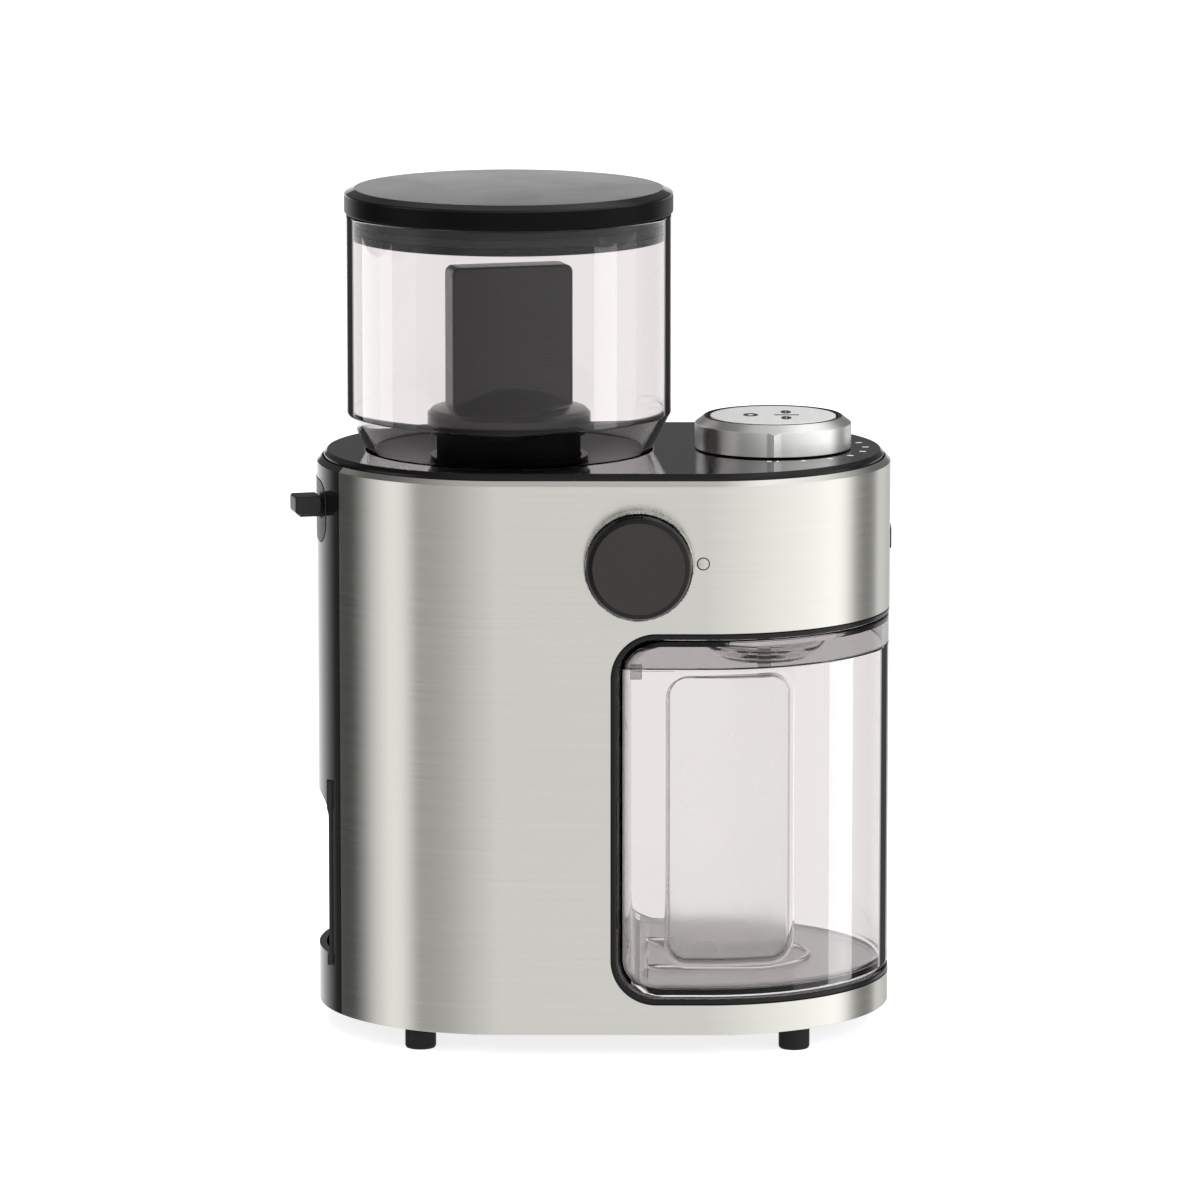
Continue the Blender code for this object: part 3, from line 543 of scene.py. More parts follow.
# the bay floor's grey, made lighter as painted light to make up for the light the container's glass keeps off
# it
plastic("floor_plastic", (0.42, 0.40, 0.385), 0.38, 0.4, 0.008, **DIM)
plastic("lens_plastic", (0.52, 0.51, 0.48), 0.20, 0.5, 0.002)
plastic("white_plastic", (0.72, 0.71, 0.67), 0.40, 0.5, 0.01)
plastic("rubber", (0.008, 0.008, 0.008), 0.65, 0.5, 0.02, **DIM)
plastic("board", (0.03, 0.15, 0.06), 0.45, 1.5, 0.02, 0.3)
clear("clear_plastic", (0.875, 0.85, 0.85), 0.012)
# clear plastic with a painted dark line along its silhouette
clear("clear_wall", (0.875, 0.85, 0.85), 0.012, painted_edge_shade=True)
clear("frosted_plastic", (0.862, 0.855, 0.845), 0.26, 0.35)
# smoked grey clear: the container lid's own tint, also used as painted shade on the rim of the container's
# grip panel
clear("lid_plastic", (0.45, 0.435, 0.43), 0.012)
brushed("knurled_ring", (0.45, 0.44, 0.42), 0.25, texture_space, (900, 900, 900), 0.0, 0.9)
plastic("print_dark", (0.03, 0.03, 0.03), 0.5, 0.4, 0.002)
plastic("print_white", (0.82, 0.82, 0.80), 0.5, 0.4, 0.002)

SLOTS = {
    "bare_metal": ("base_screw_1 base_screw_2 base_screw_3 base_screw_4 upper_burr burr_spindle lower_burr "
                   "burr_nut upper_bearing lower_bearing idler_pin motor_can").split(),
    "brass": ["motor_pinion"],
    "armature": ["motor_rotor"],
    "white_plastic": ["burr_carrier", "main_gear", "idler_gear"],
    "grey_plastic": "sweep_plate grind_chamber exit_chute gearbox_case gearbox_cover".split(),
    "black_plastic": ("base_pan bay_wall bay_ceiling motor_top_cap field_magnet button_bracket "
                      "dial_encoder interlock_switch").split(),
    "rubber": ["motor_cradle"],
    "board": ["switch_board", "control_board"],
}


def dress_frame():
    """Materials for the CAD nodes that stay: the pieces inside and underneath."""
    for slot, names in SLOTS.items():
        for name in names:
            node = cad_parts[name]
            node.data.materials.clear()
            # the bay wall takes the pale painted light in place of its black
            node.data.materials.append(LOOKS["pale_plastic" if name == "bay_wall" else slot])


# ---- housing

# Where the steel wrap meets the black cover, as distances along the outline
SEAM_LEFT = OUTLINE - right_end(90 - SEAM_ANGLE)
SEAM_RIGHT = right_end(90 + SEAM_ANGLE)


def bay_cutter():
    """The bay's opening; its right side lies past the body's end."""
    x, low, high, corner, far = BAY_LEFT, BAY_BOTTOM, BAY_TOP, BAY_CORNER, 2 * (ARC_CENTRE + BODY_RADIUS)
    outline = ([(far, low), (far, high)] + arc(x + corner, high - corner, corner, 90, 180, 20)
               + arc(x + corner, low + corner, corner, 180, 270, 20))
    return prism("bay_cutter", outline, *THROUGH, "Y")


def shell_section(thick, low_round, bevel_round, top_round, drop):
    """Both walls' section: upright, then bevelled at the top, and thinned on the inside there."""
    return fillet([(0, SHELL_BOTTOM, low_round), (0, BEVEL_START, bevel_round), (BEVEL, SHELL_TOP, top_round),
                   (BEVEL, SHELL_TOP - 1.7), (thick, SHELL_TOP - drop), (thick, SHELL_BOTTOM)], 4)


def make_steel():
    """The brushed wrap around the front and the right end."""
    button_hole, indicator_hole = 12, 2.15
    section = shell_section(STEEL, 0.3, 0.4, 0.25, 2.5)
    steel = body_wall("steel_skin", section, SEAM_LEFT - OUTLINE, SEAM_RIGHT)
    carve(steel, bay_cutter(),
          prism("button_cutter", circle(button_hole, 64, BUTTON_X, CONTROL_Z), *FRONT_WALL, "Y"),
          prism("indicator_cutter", circle(indicator_hole, 40, INDICATOR_X, CONTROL_Z), *FRONT_WALL, "Y"),
          prism("plug_cutter", grown(PLUG, GAP), *RIGHT_WALL, "X"))
    add_piece(steel, "housing", "brushed_steel", "steel_shell", wall=True)


def make_cover():
    """The black cover, with a finger recess low on its left end."""
    section = shell_section(COVER, 0.4, 0.5, 0.3, 2.6)
    cover = body_wall("cover_skin", section, SEAM_RIGHT + SEAM_GAP, SEAM_LEFT - SEAM_GAP)
    floor, low, high, corner, half_width = -90.8, 26.5, 80.4, 7.5, 24.5
    join(cover, block("recess_liner", (floor - 0.6, -half_width, low - 3.5),
                      (floor + COVER, half_width, high + 4.6)))
    outside = LEFT_WALL[0]
    hollow = ([(outside, low), (floor, low), (floor, high - corner)]
              + arc(floor - corner, high - corner, corner, 0, 90, 14)[1:] + [(outside, high)])
    carve(cover, bay_cutter(),
          prism("recess_cutter", hollow, -40, 40, "Y"),
          prism("selector_cutter", grown(SELECTOR, GAP), *LEFT_WALL, "X"),
          prism("cord_cutter", circle(6.8, 48, *CORD), *REAR_WALL, "Y"))
    add_piece(cover, "housing", "gloss_black", "back_cover", "cover_black", wall=True)


def make_top_plate():
    underside, throat, rounding = 189, 33, 0.9
    edge = fillet([(8, underside), (BEVEL + GAP, underside), (BEVEL + GAP, 191.7, 0.5), (3.5, PLATE_TOP, 0.5),
                   (8, PLATE_TOP)], 5)[1:-1]
    plate = loft("top_plate_skin", [(stadium(inset), height) for inset, height in edge])
    join(plate, prism("well_body", circle(WELL_RADIUS + 2, 160, *HOPPER), WELL_FLOOR - 2, underside + 2))
    low, high = 180, 200
    flare = arc(WELL_RADIUS + rounding, PLATE_TOP - rounding, rounding, 180, 90, 6)
    profile = ([(0, low), (throat, low), (throat, WELL_FLOOR), (WELL_RADIUS, WELL_FLOOR)] + flare
               + [(WELL_RADIUS + rounding, high), (0, high)])
    well = lathe("well_cutter", profile, HOPPER)
    carve(plate, well, prism("dial_cutter", circle(5, 48, *DIAL), low, high))
    add_piece(plate, "housing", "gloss_black", "top_plate")


def make_scale():
    """Printed marks around the dial: a stop mark in front, then one mark for each setting."""
    count, first_angle, step, inner, outer = 10, -90.2, 18.5, 29.6, 31.8
    marks = []
    for number in range(count):
        angle = first_angle + step * number
        dashes = [(-1.5, 1.6), (1.2, 0.8)] if number == 0 else [(0, 1.7)]
        for offset, width in dashes:
            outline = rounded_rectangle(inner, offset - width / 2, outer, offset + width / 2, 0.3, 3)
            turned = [polar(math.hypot(x, y), math.degrees(math.atan2(y, x)) + angle, *DIAL)
                      for x, y in outline]
            marks.append(prism(f"scale_mark_{len(marks)}", turned, PLATE_TOP - 0.05, PLATE_TOP + 0.02))
    scale = marks[0]
    scale.name = "dial_scale_print"
    merge(scale, marks[1:])
    add_piece(scale, "housing", "white_plastic", looks="print_white")


def make_trim():
    """A black frame around the bay: one closed loop that wraps around the body's right end."""
    start, end = BAY_LEFT, 2 * right_end(90) - BAY_LEFT
    back, behind_shell, face = 2.0, 1.35, 0.05  # insets from the body's outline
    section = fillet([(-GAP, back), (-GAP, behind_shell), (GAP, behind_shell), (GAP, face, 0.35),
                      (TRIM, face, 0.6), (TRIM, back)], 4)
    rows = []
    for margin, inset in section:
        corner = BAY_CORNER - margin
        low, high = BAY_BOTTOM + margin, BAY_TOP - margin
        left, right = start + margin, end - margin
        path = arc(left + corner, low + corner, corner, 270, 180, 24)
        path += arc(left + corner, high - corner, corner, 180, 90, 24)
        inner = stations(start + BAY_CORNER, end - BAY_CORNER)[1:-1]
        path += [(along, high) for along in inner]
        path += arc(right - corner, high - corner, corner, 90, 0, 24)
        path += arc(right - corner, low + corner, corner, 0, -90, 24)
        path += [(along, low) for along in reversed(inner)]
        rows.append([(*on_body(along, inset), z) for along, z in path])
    trim = add_mesh("bay_trim_skin", rows, closed=True)
    add_piece(trim, "housing", "black_plastic", "bay_trim", "gloss_black")


def make_bay_floor():
    bottom, top, ridge_top = 13.5, 17.8, 19.4
    radius, corner, left = BODY_RADIUS - COVER - 0.4, 1, BAY_LEFT + GAP
    plan = (arc(left + corner, corner - radius, corner, 180, 270, 10)
            + arc(ARC_CENTRE, 0, radius, -90, 90, 108)
            + arc(left + corner, radius - corner, corner, 90, 180, 10))
    floor = prism("bay_floor_skin", plan, bottom, top)
    ridge = prism("guide_ridge", u_shape(6, 45.3, RIDGE_RADIUS, 1), 16, ridge_top)
    soften(ridge, 0.35)
    join(floor, ridge)

    # the ridge's top takes the pale painted highlight
    def ridge_gets_painted_highlight(centre, normal):
        return 1 if centre.z > top + 0.2 else 0
    add_piece(floor, "housing", "grey_plastic", "bay_floor", "floor_plastic worn_ridge", ridge_gets_painted_highlight)


def make_selector_plate():
    outside, inside, low, high = -0.2, 2.2, 155, 190
    plate = body_wall("selector_plate_skin", [(outside, low), (outside, high), (inside, high), (inside, low)],
                      OUTLINE - right_end(120), OUTLINE - right_end(60), 1.2)
    carve(plate, prism("selector_guide", grown(SELECTOR), *LEFT_WALL, "X"), operation="INTERSECT")
    slot = prism("slot_cutter", rounded_rectangle(-18.6, 171.9, 18.6, 176.1, 1.2), *LEFT_WALL, "X")
    carve(plate, slot)
    soften(plate, 0.25)
    add_piece(plate, "housing", "black_plastic", "selector_plate")


def make_side_plug():
    plug = prism("side_plug_skin", grown(PLUG), 90, 95.4, "X")
    soften(plug, 0.25)
    add_piece(plug, "housing", "black_plastic", "side_plug")


def make_feet():
    radius, top = 5.1, 7.5
    profile = [(0, 0.4), (3.2, 0.4), (3.6, 0), (4.7, 0, 0.2), (radius, 0.7, 0.5), (radius, top), (0, top)]
    for name, place in FOOT_PLACES.items():
        foot = lathe(f"foot_{name}_skin", fillet(profile, 4), place, 64)
        add_piece(foot, "housing", "rubber", f"foot_{name}")


def make_gland():
    """Ribbed sleeve where the cord comes in; no cord is shown."""
    bore, neck, flange, groove, start, end = 3.5, 5.5, 9, 6.5, 50, 61
    profile = [(bore, start), (neck, start), (flange, 55.5, 0.4), (flange, 58.2, 0.4), (groove, 58.2, 0.3),
               (groove, end, 0.5), (bore, end, 0.4)]
    gland = lathe("cord_gland_skin", fillet(profile, 4), (0, 0), 64)
    lay_along_y(gland, (CORD[0], 0, CORD[1]), 1)
    add_piece(gland, "housing", "rubber", "cord_gland")


# ---- hopper

def make_hopper():
    """The clear hopper: a wide wall, a cone, a foot in the well and a throat down to the burrs."""
    wall, wall_inside, foot, foot_inside, throat, throat_inside = 53.7, 51.7, 46.6, 44.6, 26.6, 24.6
    rim, foot_bottom, throat_bottom = 271.2, 186.3, 178.0
    profile = [(wall_inside, rim, 0.5), (wall, rim, 0.8), (wall, 205.4, 1.5), (foot, 192.3, 1),
               (foot, foot_bottom, 0.5), (foot_inside, foot_bottom, 0.5), (foot_inside, 191.0, 0.8),
               (throat, 187.5, 0.6), (throat, throat_bottom, 0.4), (throat_inside, throat_bottom, 0.4),
               (throat_inside, 189.3, 0.8), (foot_inside, 193.2, 1), (wall_inside, 206.6, 1.5)]
    glass = lathe("hopper_glass", fillet(profile, 6), HOPPER, 180)

    def wall_or_foot(centre, normal):
        # the clear foot down in the well is painted black as shade
        if centre.z < PLATE_TOP + 0.3:
            return 2
        return 1 if math.hypot(centre.x - HOPPER[0], centre.y) > wall - 0.2 else 0
    add_piece(glass, "hopper", "clear_plastic", "hopper", "clear_plastic clear_wall deep_black",
              wall_or_foot, 60)


def make_collar():
    inner, outer, low, high = 24, 26, 189.9, 200.7
    profile = [(inner, low, 0.2), (outer, low, 0.2), (outer, high, 0.3), (inner, high, 0.3)]
    collar = lathe("throat_collar_skin", fillet(profile, 3), HOPPER, 120)
    carve(collar, window_cutter())
    # the whole collar is painted deep black as the shade it sits in
    add_piece(collar, "hopper", "key_plastic", "throat_collar", "deep_black")


def window_cutter():
    """Cuts the two openings that let beans past the key."""
    return block("window_cutter", *KEY_WINDOWS, (*HOPPER, 0))


def make_lid():
    top, low, edge, skirt, groove, inside = 279.6, 263, 54.3, 51.4, 50.2, 48.8
    profile = [(0, top), (50.85, top, 0.35), (edge, 278.1, 0.8), (edge, 271.5, 0.7), (skirt, 271.5, 0.2),
               (skirt, 268.6), (groove, 268.6), (groove, 265.4), (skirt, 265.4), (skirt, low, 0.5),
               (inside, low, 0.5), (inside, top - 4, 1.5), (0, top - 4)]
    lid = lathe("hopper_lid_skin", fillet(profile, 6), HOPPER, 180)

    def top_is_satin(centre, normal):
        if centre.z > top - 0.3 and normal.z > 0.95:
            return 1
        return 0 if centre.z > 277.4 else 2
    add_piece(lid, "hopper_lid", "gloss_black", "hopper_lid", "gloss_black satin_lid deep_black",
              top_is_satin, 35)
    bead = [(50.5, 265.7, 0.2), (51.3, 265.7, 0.3), (51.5, 267, 0.2), (51.3, 268.3, 0.3), (50.5, 268.3, 0.2)]
    add_piece(lathe("lid_seal_skin", fillet(bead, 3), HOPPER, 160), "hopper_lid", "rubber", "lid_seal")


def make_key():
    """A domed cap with a fin to turn it by, on a tube with two windows."""
    cap, tube, tube_inside, bottom = 27, 23.5, 21, 178.6
    profile = [(0, 214), (8, 213, 8), (15, 210.5, 8), (21, 207.6, 3), (25.5, 206.4, 0.8), (cap, 204.9, 0.6),
               (cap, 201, 0.4), (tube, 201, 0.5), (tube, bottom, 0.3), (tube_inside, bottom, 0.3),
               (tube_inside, 203, 0.5), (0, 203)]
    key = lathe("hopper_key_skin", fillet(profile, 5), HOPPER, 144)
    fin = prism("key_fin", rounded_rectangle(-20.5, 204, 20.5, 254, 2.5), -5.5, 5.5, "Y", (*HOPPER, 0))
    soften(fin, 0.8, 4)
    fin.rotation_euler.z = math.radians(16)
    join(key, fin)
    carve(key, window_cutter())

    def tube_in_painted_shade(centre, normal):
        # the key's tube under its cap is painted deep black as shade
        return 1 if centre.z < 201.1 else 0
    add_piece(key, "hopper_key", "key_plastic", "hopper_key", "key_plastic deep_black", tube_in_painted_shade)


def make_lever():
    """A flat arm from the burr carrier out through the slot, with a grip on its end."""
    tilt, half_grip, half_arm = math.radians(13.9), 5, 2.5
    reach = (103.5 + HOPPER[0] - half_grip * math.sin(tilt)) / math.cos(tilt)
    arm = [(-35.4, -9), (-35.4, 9), (-44, half_arm), (2 - reach, half_arm), (2 - reach, -half_arm),
           (-44, -half_arm)]
    lever = prism("grind_lever_skin", arm, 172.6, 175.4, place=(*HOPPER, 0))
    inner, low, high = -64.2, 173.6, 179.7
    outline = fillet([(-reach, low, 1.4), (inner, low, 1.4), (inner, high, 1.0), (-reach, high, 1.0)], 5)
    grip = prism("lever_grip", outline, -half_grip, half_grip, "Y", (*HOPPER, 0))
    soften(grip, 0.7, 4)
    join(lever, grip)
    lever.data.transform(Matrix.Rotation(tilt, 4, "Z"))
    add_piece(lever, "burr_carrier", "black_plastic", "grind_lever")


# ---- controls

CAP_TOP = 203.9


def make_dial():
    base, chamfer_start, rim_top, radius, rim, hub, bore = PLATE_TOP + 0.4, 201.6, 204, 25.9, 22.7, 4.6, 2.9
    profile = [(bore, 178), (hub, 178), (hub, base), (radius, base, 0.2), (radius, chamfer_start, 0.25),
               (rim, rim_top, 0.2), (rim, 196.4), (bore, 196.4)]
    ring = lathe("dial_ring_skin", fillet(profile, 4), DIAL, 180)
    wedge = [(-1.95, -24.6), (-1.95, -25.8), (0, -26.9), (1.95, -25.8), (1.95, -24.6)]
    slope = (rim_top - chamfer_start) / (radius - rim)  # the ridge's top follows the rim's chamfer
    top = [(x, y, chamfer_start - slope * (math.hypot(x, y) - radius)) for x, y in wedge]
    ridge = add_mesh("pointer_ridge", [[(x, y, base + 0.3) for x, y in wedge], top], caps=True,
                     place=(*DIAL, 0))
    join(ring, ridge)
    add_piece(ring, "dial", "dial_metal", "dial_ring", angle=25)


def make_lining():
    """The black lining of the gap between the dial and its cap."""
    inner, outer, low = 20.95, 22.65, 196.6
    profile = [(inner, low), (outer, low), (outer, 203.95), (22.2, 203.95), (21.2, 202.2), (inner, 202.0)]
    add_piece(lathe("dial_gap_ring", profile, DIAL, 120), "dial", "black_plastic")


def make_cap():
    radius, stem = 20.8, 2.5
    profile = [(0, CAP_TOP), (radius, CAP_TOP, 0.3), (radius, 201.4, 0.3), (stem, 201.4), (stem, 177),
               (0, 177)]
    cap = lathe("dial_cap_skin", fillet(profile, 4), DIAL, 160)
    add_piece(cap, "dial_cap", "dial_metal", "dial_cap", "cap_metal")


def flat_print(name, outline):
    """A sign printed on the dial's cap."""
    return prism(name, outline, CAP_TOP - 0.04, CAP_TOP + 0.05, place=(*DIAL, 0))


def print_cutter(name, outline):
    return prism(name, outline, CAP_TOP - 1, CAP_TOP + 1, place=(*DIAL, 0))


def ellipse(x, y, half_width, half_depth):
    return [(x + half_width * u, y + half_depth * v) for u, v in circle(1, 32)]


def make_icons():
    """Generic signs on the dial's cap: a cup seen from above, and two beans either side of a line."""
    cup_x, bean_x, bean_y = -7.4, 4.3, 6.6
    cup = flat_print("dial_print", ellipse(cup_x, 0, 2.5, 3.5))
    carve(cup, print_cutter("cup_hole", ellipse(cup_x, 0, 1.0, 1.6)))
    beans = []
    for side in (-1, 1):
        y = bean_y * side
        bean = flat_print(f"bean_{side}", ellipse(bean_x, y, 1.75, 3.6))
        crease = rounded_rectangle(bean_x - 0.12, y - 2.4, bean_x + 0.12, y + 2.4, 0.11, 3)
        carve(bean, print_cutter("crease", crease))
        beans.append(bean)
    line = flat_print("bean_line", rounded_rectangle(0.4, -0.8, 8.6, 0.8, 0.3, 3))
    merge(cup, beans + [line])
    add_piece(cup, "dial_cap", "black_plastic", looks="print_dark")


def make_button():
    face, radius, back, stem = 72.0, 17.1, 64.5, 6
    profile = [(0, face), (15, face, 0.5), (16.5, face - 0.7, 0.5), (radius, face - 2.2, 0.8),
               (radius, back, 0.5), (stem, back), (stem, 52), (0, 52)]
    button = lathe("start_button_skin", fillet(profile, 5), (0, 0), 144)
    lay_along_y(button, (BUTTON_X, 0, CONTROL_Z))

    def bevel_is_black(centre, normal):
        return 0 if normal.y < -0.985 else 1
    add_piece(button, "start_button", "button_plastic", "start_button", "button_plastic gloss_black",
              bevel_is_black, 30)


def make_button_ring():
    """The thin clear ring around the button, knurled on its outside."""
    inner, outer, back, front = 17.4, 18.0, 61.3, 68

    def knurl(step, radius):
        return -0.18 if radius > outer - 0.3 and step % 4 < 2 else 0.0
    profile = [(inner, back), (outer, back), (outer, front, 0.25), (inner, front, 0.2)]
    ring = lathe("button_ring_skin", fillet(profile, 3), (0, 0), 360, knurl)
    lay_along_y(ring, (BUTTON_X, 0, CONTROL_Z))
    add_piece(ring, "housing", "clear_plastic", "button_ring", "knurled_ring", angle=50)


def make_lens():
    """The indicator: a stem in the wall and a slightly wider head."""
    stem, head, shoulder, face = 1.5, 1.8, 58.5, 61.3
    profile = [(0, 47.2), (stem, 47.2), (stem, shoulder), (head, shoulder), (head, face, 0.3),
               (0, face + 0.1)]
    lens = lathe("indicator_lens_skin", fillet(profile, 4), (0, 0), 40)
    lay_along_y(lens, (INDICATOR_X, 0, CONTROL_Z))
    add_piece(lens, "housing", "clear_plastic", "indicator_lens", "lens_plastic")


def make_spring():
    """The start button's spring, drawn at one length."""
    radius, wire, low, high, turns, steps = 8.6, 0.5, 58.1, 63.7, 3, 32
    rows = []
    for i in range(turns * steps + 1):
        degrees, height = 360 * i / steps, low + (high - low) * i / (turns * steps)
        rows.append([(*polar(radius + u, degrees), height + w) for u, w in circle(wire, 12)])
    spring = add_mesh("button_spring_skin", rows, caps=True)
    lay_along_y(spring, (BUTTON_X, 0, CONTROL_Z))
    add_piece(spring, "housing", "bare_metal", "button_spring")
    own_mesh(spring)


# ---- container

CONTAINER_LEFT, CONTAINER_BOTTOM, CONTAINER_RIM, CONTAINER_TOP = 4.9, 19.8, 129.0, 138.6
WALL, PLAN_CORNER, SIDE_CORNER, INSET = 2.2, 5.0, 12.7, 0.25
PANEL = (21.0, 62.3, 32.2, 127.0, 7.0)  # along the outline, then in height, then its corners
COARSE, FINE = 3.0, 0.42  # spacing of the points, fine near the panel's edges


def panel_depth(along, z):
    """How deep the grip panel is pressed into the container's front: a crisp rim, then a soft dish."""
    x0, x1, z0, z1, corner = PANEL
    across = abs(along - (x0 + x1) / 2) - (x1 - x0) / 2 + corner
    up = abs(z - (z0 + z1) / 2) - (z1 - z0) / 2 + corner
    outside = math.hypot(max(across, 0), max(up, 0)) + min(max(across, up), 0) - corner
    bead = 0.30 * math.exp(-((outside - 0.8) / 0.5) ** 2)
    return 0.85 * smooth_step(-outside / 0.9) + 0.7 * smooth_step(-outside / 6.0) - bead


def smooth_step(t):
    t = max(0.0, min(1.0, t))
    return t * t * (3 - 2 * t)


def dense(start, end, coarse, fine, edges, reach):
    """Distances from start to end, fine within reach of the edges and coarse elsewhere."""
    found, here = [start], start
    while here < end - fine / 2:
        near = any(abs(here + fine / 2 - edge) < reach for edge in edges)
        here = min(end, here + (fine if near else coarse))
        found.append(here)
    return found


def container_ring(z, shrink, wall, bottom_end, pressed=False):
    """The container's plan at a height. bottom_end is the height that its rounded side starts from."""
    corner_radius = SIDE_CORNER - wall
    dip = max(0.0, corner_radius - abs(z - bottom_end))
    left = CONTAINER_LEFT + wall + shrink + corner_radius - math.sqrt(max(0, corner_radius ** 2 - dip ** 2))
    radius = BODY_RADIUS - INSET - wall - shrink
    corner = PLAN_CORNER - wall
    points = arc(left + corner, corner - radius, corner, 180, 270, 8)
    start = left + corner
    flat = dense(14.0, ARC_CENTRE, COARSE, FINE, (PANEL[0] + 3,), 6.0)
    for number, x in enumerate(flat[:-1], 1):
        x = max(x, start + 0.02 * number)
        points.append((x, -radius + (panel_depth(x, z) if pressed else 0)))
    for along in dense(ARC_CENTRE, right_end(90), 2.2, FINE, (PANEL[1] - 3,), 6.0):
        depth = panel_depth(along, z) if pressed else 0
        degrees = math.degrees((along - ARC_CENTRE) / BODY_RADIUS) - 90
        points.append(polar(radius - depth, degrees, ARC_CENTRE))
    points += arc(ARC_CENTRE, 0, radius, 0, 90, 44)[1:]
    points += [(ARC_CENTRE + (start - ARC_CENTRE) * i / 6, radius) for i in range(1, 6)]
    points += arc(left + corner, radius - corner, corner, 90, 180, 8)
    return [(x, y, z) for x, y in points]


def edge_rings(radius, angles, height, shrink, wall, bottom_end):
    """Rings that round an edge, along a small circle about a height and a distance from the wall."""
    places = [polar(radius, degrees, shrink, height) for degrees in angles]
    return [container_ring(z, inwards, wall, bottom_end) for inwards, z in places]


def make_container():
    low, rim, floor = CONTAINER_BOTTOM, CONTAINER_RIM, CONTAINER_BOTTOM + WALL
    rows = edge_rings(1.6, range(270, 179, -15), low + 1.6, 1.6, 0, low)
    heights = dense(low + 1.7, rim - 0.4, COARSE, FINE, (PANEL[2] + 3, PANEL[3] - 3), 6.5)
    rows += [container_ring(z, 0, 0, low, True) for z in heights]
    rows += edge_rings(0.5, range(180, 89, -30), rim - 0.5, 0.5, 0, low)
    rows += edge_rings(0.4, range(90, -1, -30), rim - 0.4, -0.4, WALL, floor)
    inside = dense(floor + 2.6, rim - 1, COARSE, 0.8, (low + 8,), 6)
    rows += [container_ring(z, 0, WALL, floor) for z in reversed(inside)]
    rows += edge_rings(2.5, range(180, 271, 15), floor + 2.5, 2.5, WALL, floor)
    vessel = add_mesh("container_glass", rows, caps=True)
    bead_bottom = floor + 0.02
    bead = prism("floor_bead", u_shape(12, 47, RIDGE_RADIUS, 0.8), bead_bottom, bead_bottom + 0.9)
    soften(bead, 0.4)
    join(vessel, bead)

    def face_look(centre, normal):
        """Clear inside and near the left wall, frosted in the panel, smoked as painted shade on its rim, a
        wall with a painted dark edge elsewhere.
        """
        if math.hypot(max(0, centre.x - ARC_CENTRE), centre.y) < BODY_RADIUS - 2 or centre.x < 13:
            return 0
        if centre.y > -20 or normal.y > -0.3:
            return 2
        sine = max(0.0, min(1.0, (centre.x - ARC_CENTRE) / BODY_RADIUS))
        along = centre.x if centre.x < ARC_CENTRE else right_end(math.degrees(math.asin(sine)))
        depth = panel_depth(along, centre.z)
        # the panel's rim is smoked grey: a painted dark outline
        return 1 if depth > 0.8 else 3 if depth > 0.12 else 2
    add_piece(vessel, "container", "clear_plastic", "container",
              "clear_plastic frosted_plastic clear_wall lid_plastic", face_look, 50)


def make_container_lid():
    low, top, ceiling = CONTAINER_RIM + GAP, CONTAINER_TOP, CONTAINER_TOP - WALL
    rows = [container_ring(z, 0, WALL, ceiling) for z in reversed(dense(low, ceiling - 0.1, 1.0, 1.0, (), 1))]
    rows += [container_ring(z, 0, 0, top) for z in dense(low, top - 0.8, 1.0, 1.0, (), 1)]
    rows += edge_rings(0.8, range(180, 89, -15), top - 0.8, 0.8, 0, top)
    lid = add_mesh("container_lid_glass", rows, caps=True)
    carve(lid, prism("inlet_cutter", circle(21.4, 120, *INLET), 125, 145))
    rim, rim_inside, hole = 22.4, 20.4, 7
    profile = [(rim, top - 1.8), (rim, 134, 4), (20.2, 127.4, 5), (14, 123, 7), (hole, 121.6, 0.8),
               (hole, 123.6, 0.8), (13.2, 125, 6), (18.4, 128.8, 4), (rim_inside, 134.4, 3),
               (rim_inside, top - 0.2), (rim, top - 0.2)]
    dish = lathe("inlet_dish", fillet(profile, 7), INLET, 120)
    post = block("inlet_post", (-2.2, -24, 123), (2.2, -20.6, top - 1), (*INLET, 0))
    soften(post, 0.3)
    clip = block("lid_clip", (9.0, -57.9, 125.4), (12.8, -56.6, low + 1))
    soften(clip, 0.3)
    join(lid, dish, post, clip)

    def dish_is_clear(centre, normal):
        in_dish = math.hypot(centre.x - INLET[0], centre.y - INLET[1]) < rim + 0.1
        return 1 if in_dish and centre.z < top - 1.9 else 0
    add_piece(lid, "container", "smoked_clear_plastic", "container_lid", "lid_plastic clear_plastic",
              dish_is_clear, 45)


# ---- studio

def make_camera():
    """The viewing angle of a product shot: far off with a long lens, a little above."""
    azimuth, elevation, distance, lens = 0.41, 9.69, 2662.5, 240.5
    target = Vector((-1.23, 0, 141.7)) + ORIGIN
    across = math.cos(math.radians(elevation))
    back = Vector((math.sin(math.radians(azimuth)) * across, -math.cos(math.radians(azimuth)) * across,
                   math.sin(math.radians(elevation))))
    data = bpy.data.cameras.new("camera")
    data.lens = lens
    data.sensor_width = 36
    data.clip_end = 50
    camera = bpy.data.objects.new("camera", data)
    camera.location = (target + back * distance) * MM
    camera.rotation_euler = (-back).to_track_quat("-Z", "Y").to_euler()
    bpy.context.scene.collection.objects.link(camera)
    bpy.context.scene.camera = camera


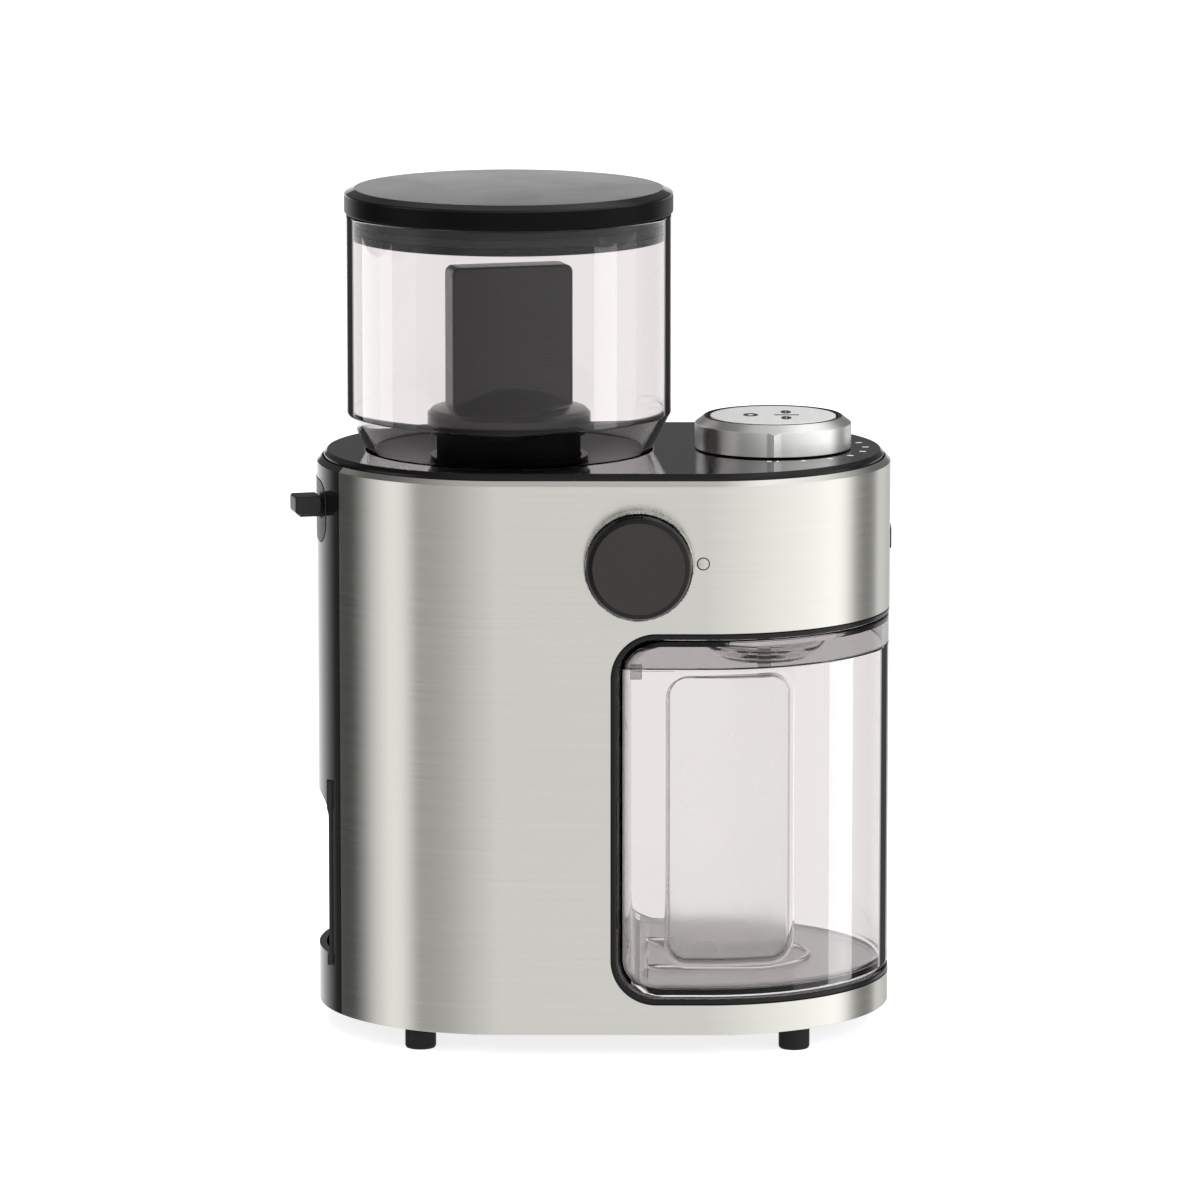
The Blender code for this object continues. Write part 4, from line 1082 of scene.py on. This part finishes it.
# Brightness of the studio's walls by the direction they are seen in, in degrees from the front to the right
WALLS = [(-180, 1.08), (-170, 1.30), (-152, 1.24), (-144, 0.95), (-136, 0.56), (-128, 0.15), (-120, 0.08),
         (-106, 0.085), (-98, 0.26), (-86, 0.74), (-74, 1.06), (-66, 1.05), (-60, 0.84), (-53, 0.43),
         (-44, 0.46), (-32, 0.53), (-20, 0.67), (0, 0.86), (20, 0.98), (44, 1.13), (70, 1.27), (88, 1.42),
         (95, 1.33), (101, 0.98), (107, 0.52), (114, 0.30), (122, 0.25), (129, 0.35), (137, 0.82),
         (148, 0.72), (162, 0.53), (180, 1.08)]
CEILING_TONE = [(-0.6, 0.12), (-0.25, 0.55), (0.1, 0.62), (0.35, 1.3), (0.7, 0.95)]  # from left to right
BEHIND_ABOVE = 0.17  # the dim wall that the level black surfaces mirror
BEHIND_GLASS = 1.06  # what the clear pieces show through, from any side
BELOW = 0.95  # the pale floor as polished pieces mirror it


def make_world():
    """Walls around the object, a ceiling that changes from left to right, and a pale floor; each tone is
    picked by the direction that is looked in."""
    world = bpy.data.worlds.new("studio")
    bpy.context.scene.world = world
    world.use_nodes = True
    direction = add_node(world, "TexCoord").outputs["Generated"]
    x, y, z = add_node(world, "SeparateXYZ", {0: direction}).outputs
    angle = combine(world, "ARCTAN2", x, combine(world, "MULTIPLY", y, -1.0))
    walls = add_node(world, "ValToRGB", {"Fac": span(world, angle, 0, 1, -math.pi, math.pi)})
    set_stops(walls, [(degrees / 360 + 0.5, tone) for degrees, tone in WALLS])
    behind, above = span(world, y, 0, 1, 0.3, 0.7), span(world, z, 0, 1, 0.0, 0.08)
    dimmed = blend_colours(world, combine(world, "MULTIPLY", behind, above), walls.outputs["Color"],
                           (BEHIND_ABOVE,) * 3)
    ceiling = add_node(world, "ValToRGB", {"Fac": span(world, x, 0, 1, -1, 1)})
    set_stops(ceiling, [((place + 1) / 2, tone) for place, tone in CEILING_TONE])
    up = span(world, z, 0, 1, 0.5, 0.8, interpolation_type="SMOOTHSTEP")
    roofed = blend_colours(world, up, dimmed, ceiling.outputs["Color"])
    mirrored = blend_colours(world, span(world, z, 0, 1, -0.4, -0.7), roofed, (BELOW,) * 3)
    through = add_node(world, "LightPath").outputs["Is Transmission Ray"]
    whole = blend_colours(world, through, mirrored, (BEHIND_GLASS,) * 3)
    background = world.node_tree.nodes["Background"]
    world.node_tree.links.new(whole, background.inputs["Color"])
    background.inputs["Strength"].default_value = 1.0


def area_lamp(name, width, height, power, place, rotation):
    lamp = bpy.data.lights.new(name, "AREA")
    lamp.shape = "RECTANGLE"
    lamp.size, lamp.size_y = width, height
    lamp.energy = power
    light = bpy.data.objects.new(name, lamp)
    light.location = place
    light.rotation_euler = rotation
    light.visible_transmission = False
    bpy.context.scene.collection.objects.link(light)
    return light


def make_stage():
    reach, glow = 9000, 0.80
    floor = block("floor", (-reach, -reach, -20), (reach, reach, 0))
    material = plastic("pale_floor", (0.88, 0.88, 0.87), 0.85, 3.0, 0.02, 0.01)
    shader = material.node_tree.nodes["Principled BSDF"]
    shader.inputs["Emission Color"].default_value = (1, 1, 1, 1)
    shader.inputs["Emission Strength"].default_value = glow
    floor.data.materials.append(material)
    floor.visible_glossy = False
    floor.visible_transmission = False
    softbox = area_lamp("top_softbox", 1.6, 1.2, 9, (0.1, -0.3, 1.5), (math.radians(-12), 0, 0))
    softbox.visible_glossy = False


def mirrored_lamp(name, width, height, power, place, piece):
    """A lamp that faces the object's middle line and shines on the named piece only."""
    rotation = Vector((place[0], place[1], 0)).to_track_quat("Z", "Y").to_euler()
    light = area_lamp(name, width, height, power, place, rotation)
    light.visible_camera = False
    receivers = bpy.data.collections.new(f"{name}_receivers")
    receivers.objects.link(bpy.data.objects[piece])
    light.light_linking.receiver_collection = receivers


# Each lamp's name, its direction in degrees from the front to the right, its width, height and middle height
# in metres, its brightness, and the piece that mirrors it
STRIPS = [
    ("hopper_strip_left", -106, 0.80, 0.30, -0.040, 12, "hopper_glass"),
    ("hopper_glow_left", -84, 0.75, 0.30, -0.040, 4, "hopper_glass"),
    ("hopper_strip_right", 72, 0.44, 0.30, -0.040, 17, "hopper_glass"),
    ("hopper_glow_right", 84, 0.80, 0.30, -0.040, 4, "hopper_glass"),
    ("container_strip", 93, 0.46, 1.3, -0.05, 26, "container_glass"),
    ("container_glow", 78, 0.95, 1.3, -0.05, 7, "container_glass"),
]


def make_strips():
    """Soft lamps beside the camera, a narrow one within a wide one on each side. Only the clear pieces
    mirror them: on the brushed metal they would smear out, and the walls' tones hold their light. The
    hopper's end at the height where its lid's black skirt would show them. A low lamp behind the lid
    brightens its far edge."""
    for name, degrees, width, height, middle, brightness, piece in STRIPS:
        place = (*polar(1.25, degrees - 90), middle)
        mirrored_lamp(name, width, height, brightness * width * height / 1.3, place, piece)
    mirrored_lamp("lid_lamp", 0.40, 0.022, 0.018, (0.0, 0.165, 0.295), "hopper_lid_skin")


make_camera()
dress_frame()
make_steel()
make_cover()
make_top_plate()
make_scale()
make_trim()
make_bay_floor()
make_selector_plate()
make_side_plug()
make_feet()
make_gland()
make_hopper()
make_collar()
make_lid()
make_key()
make_lever()
make_dial()
make_lining()
make_cap()
make_icons()
make_button()
make_button_ring()
make_spring()
make_lens()
make_container()
make_container_lid()
make_world()
make_stage()
make_strips()
bpy.context.scene.view_settings.view_transform = "Standard"
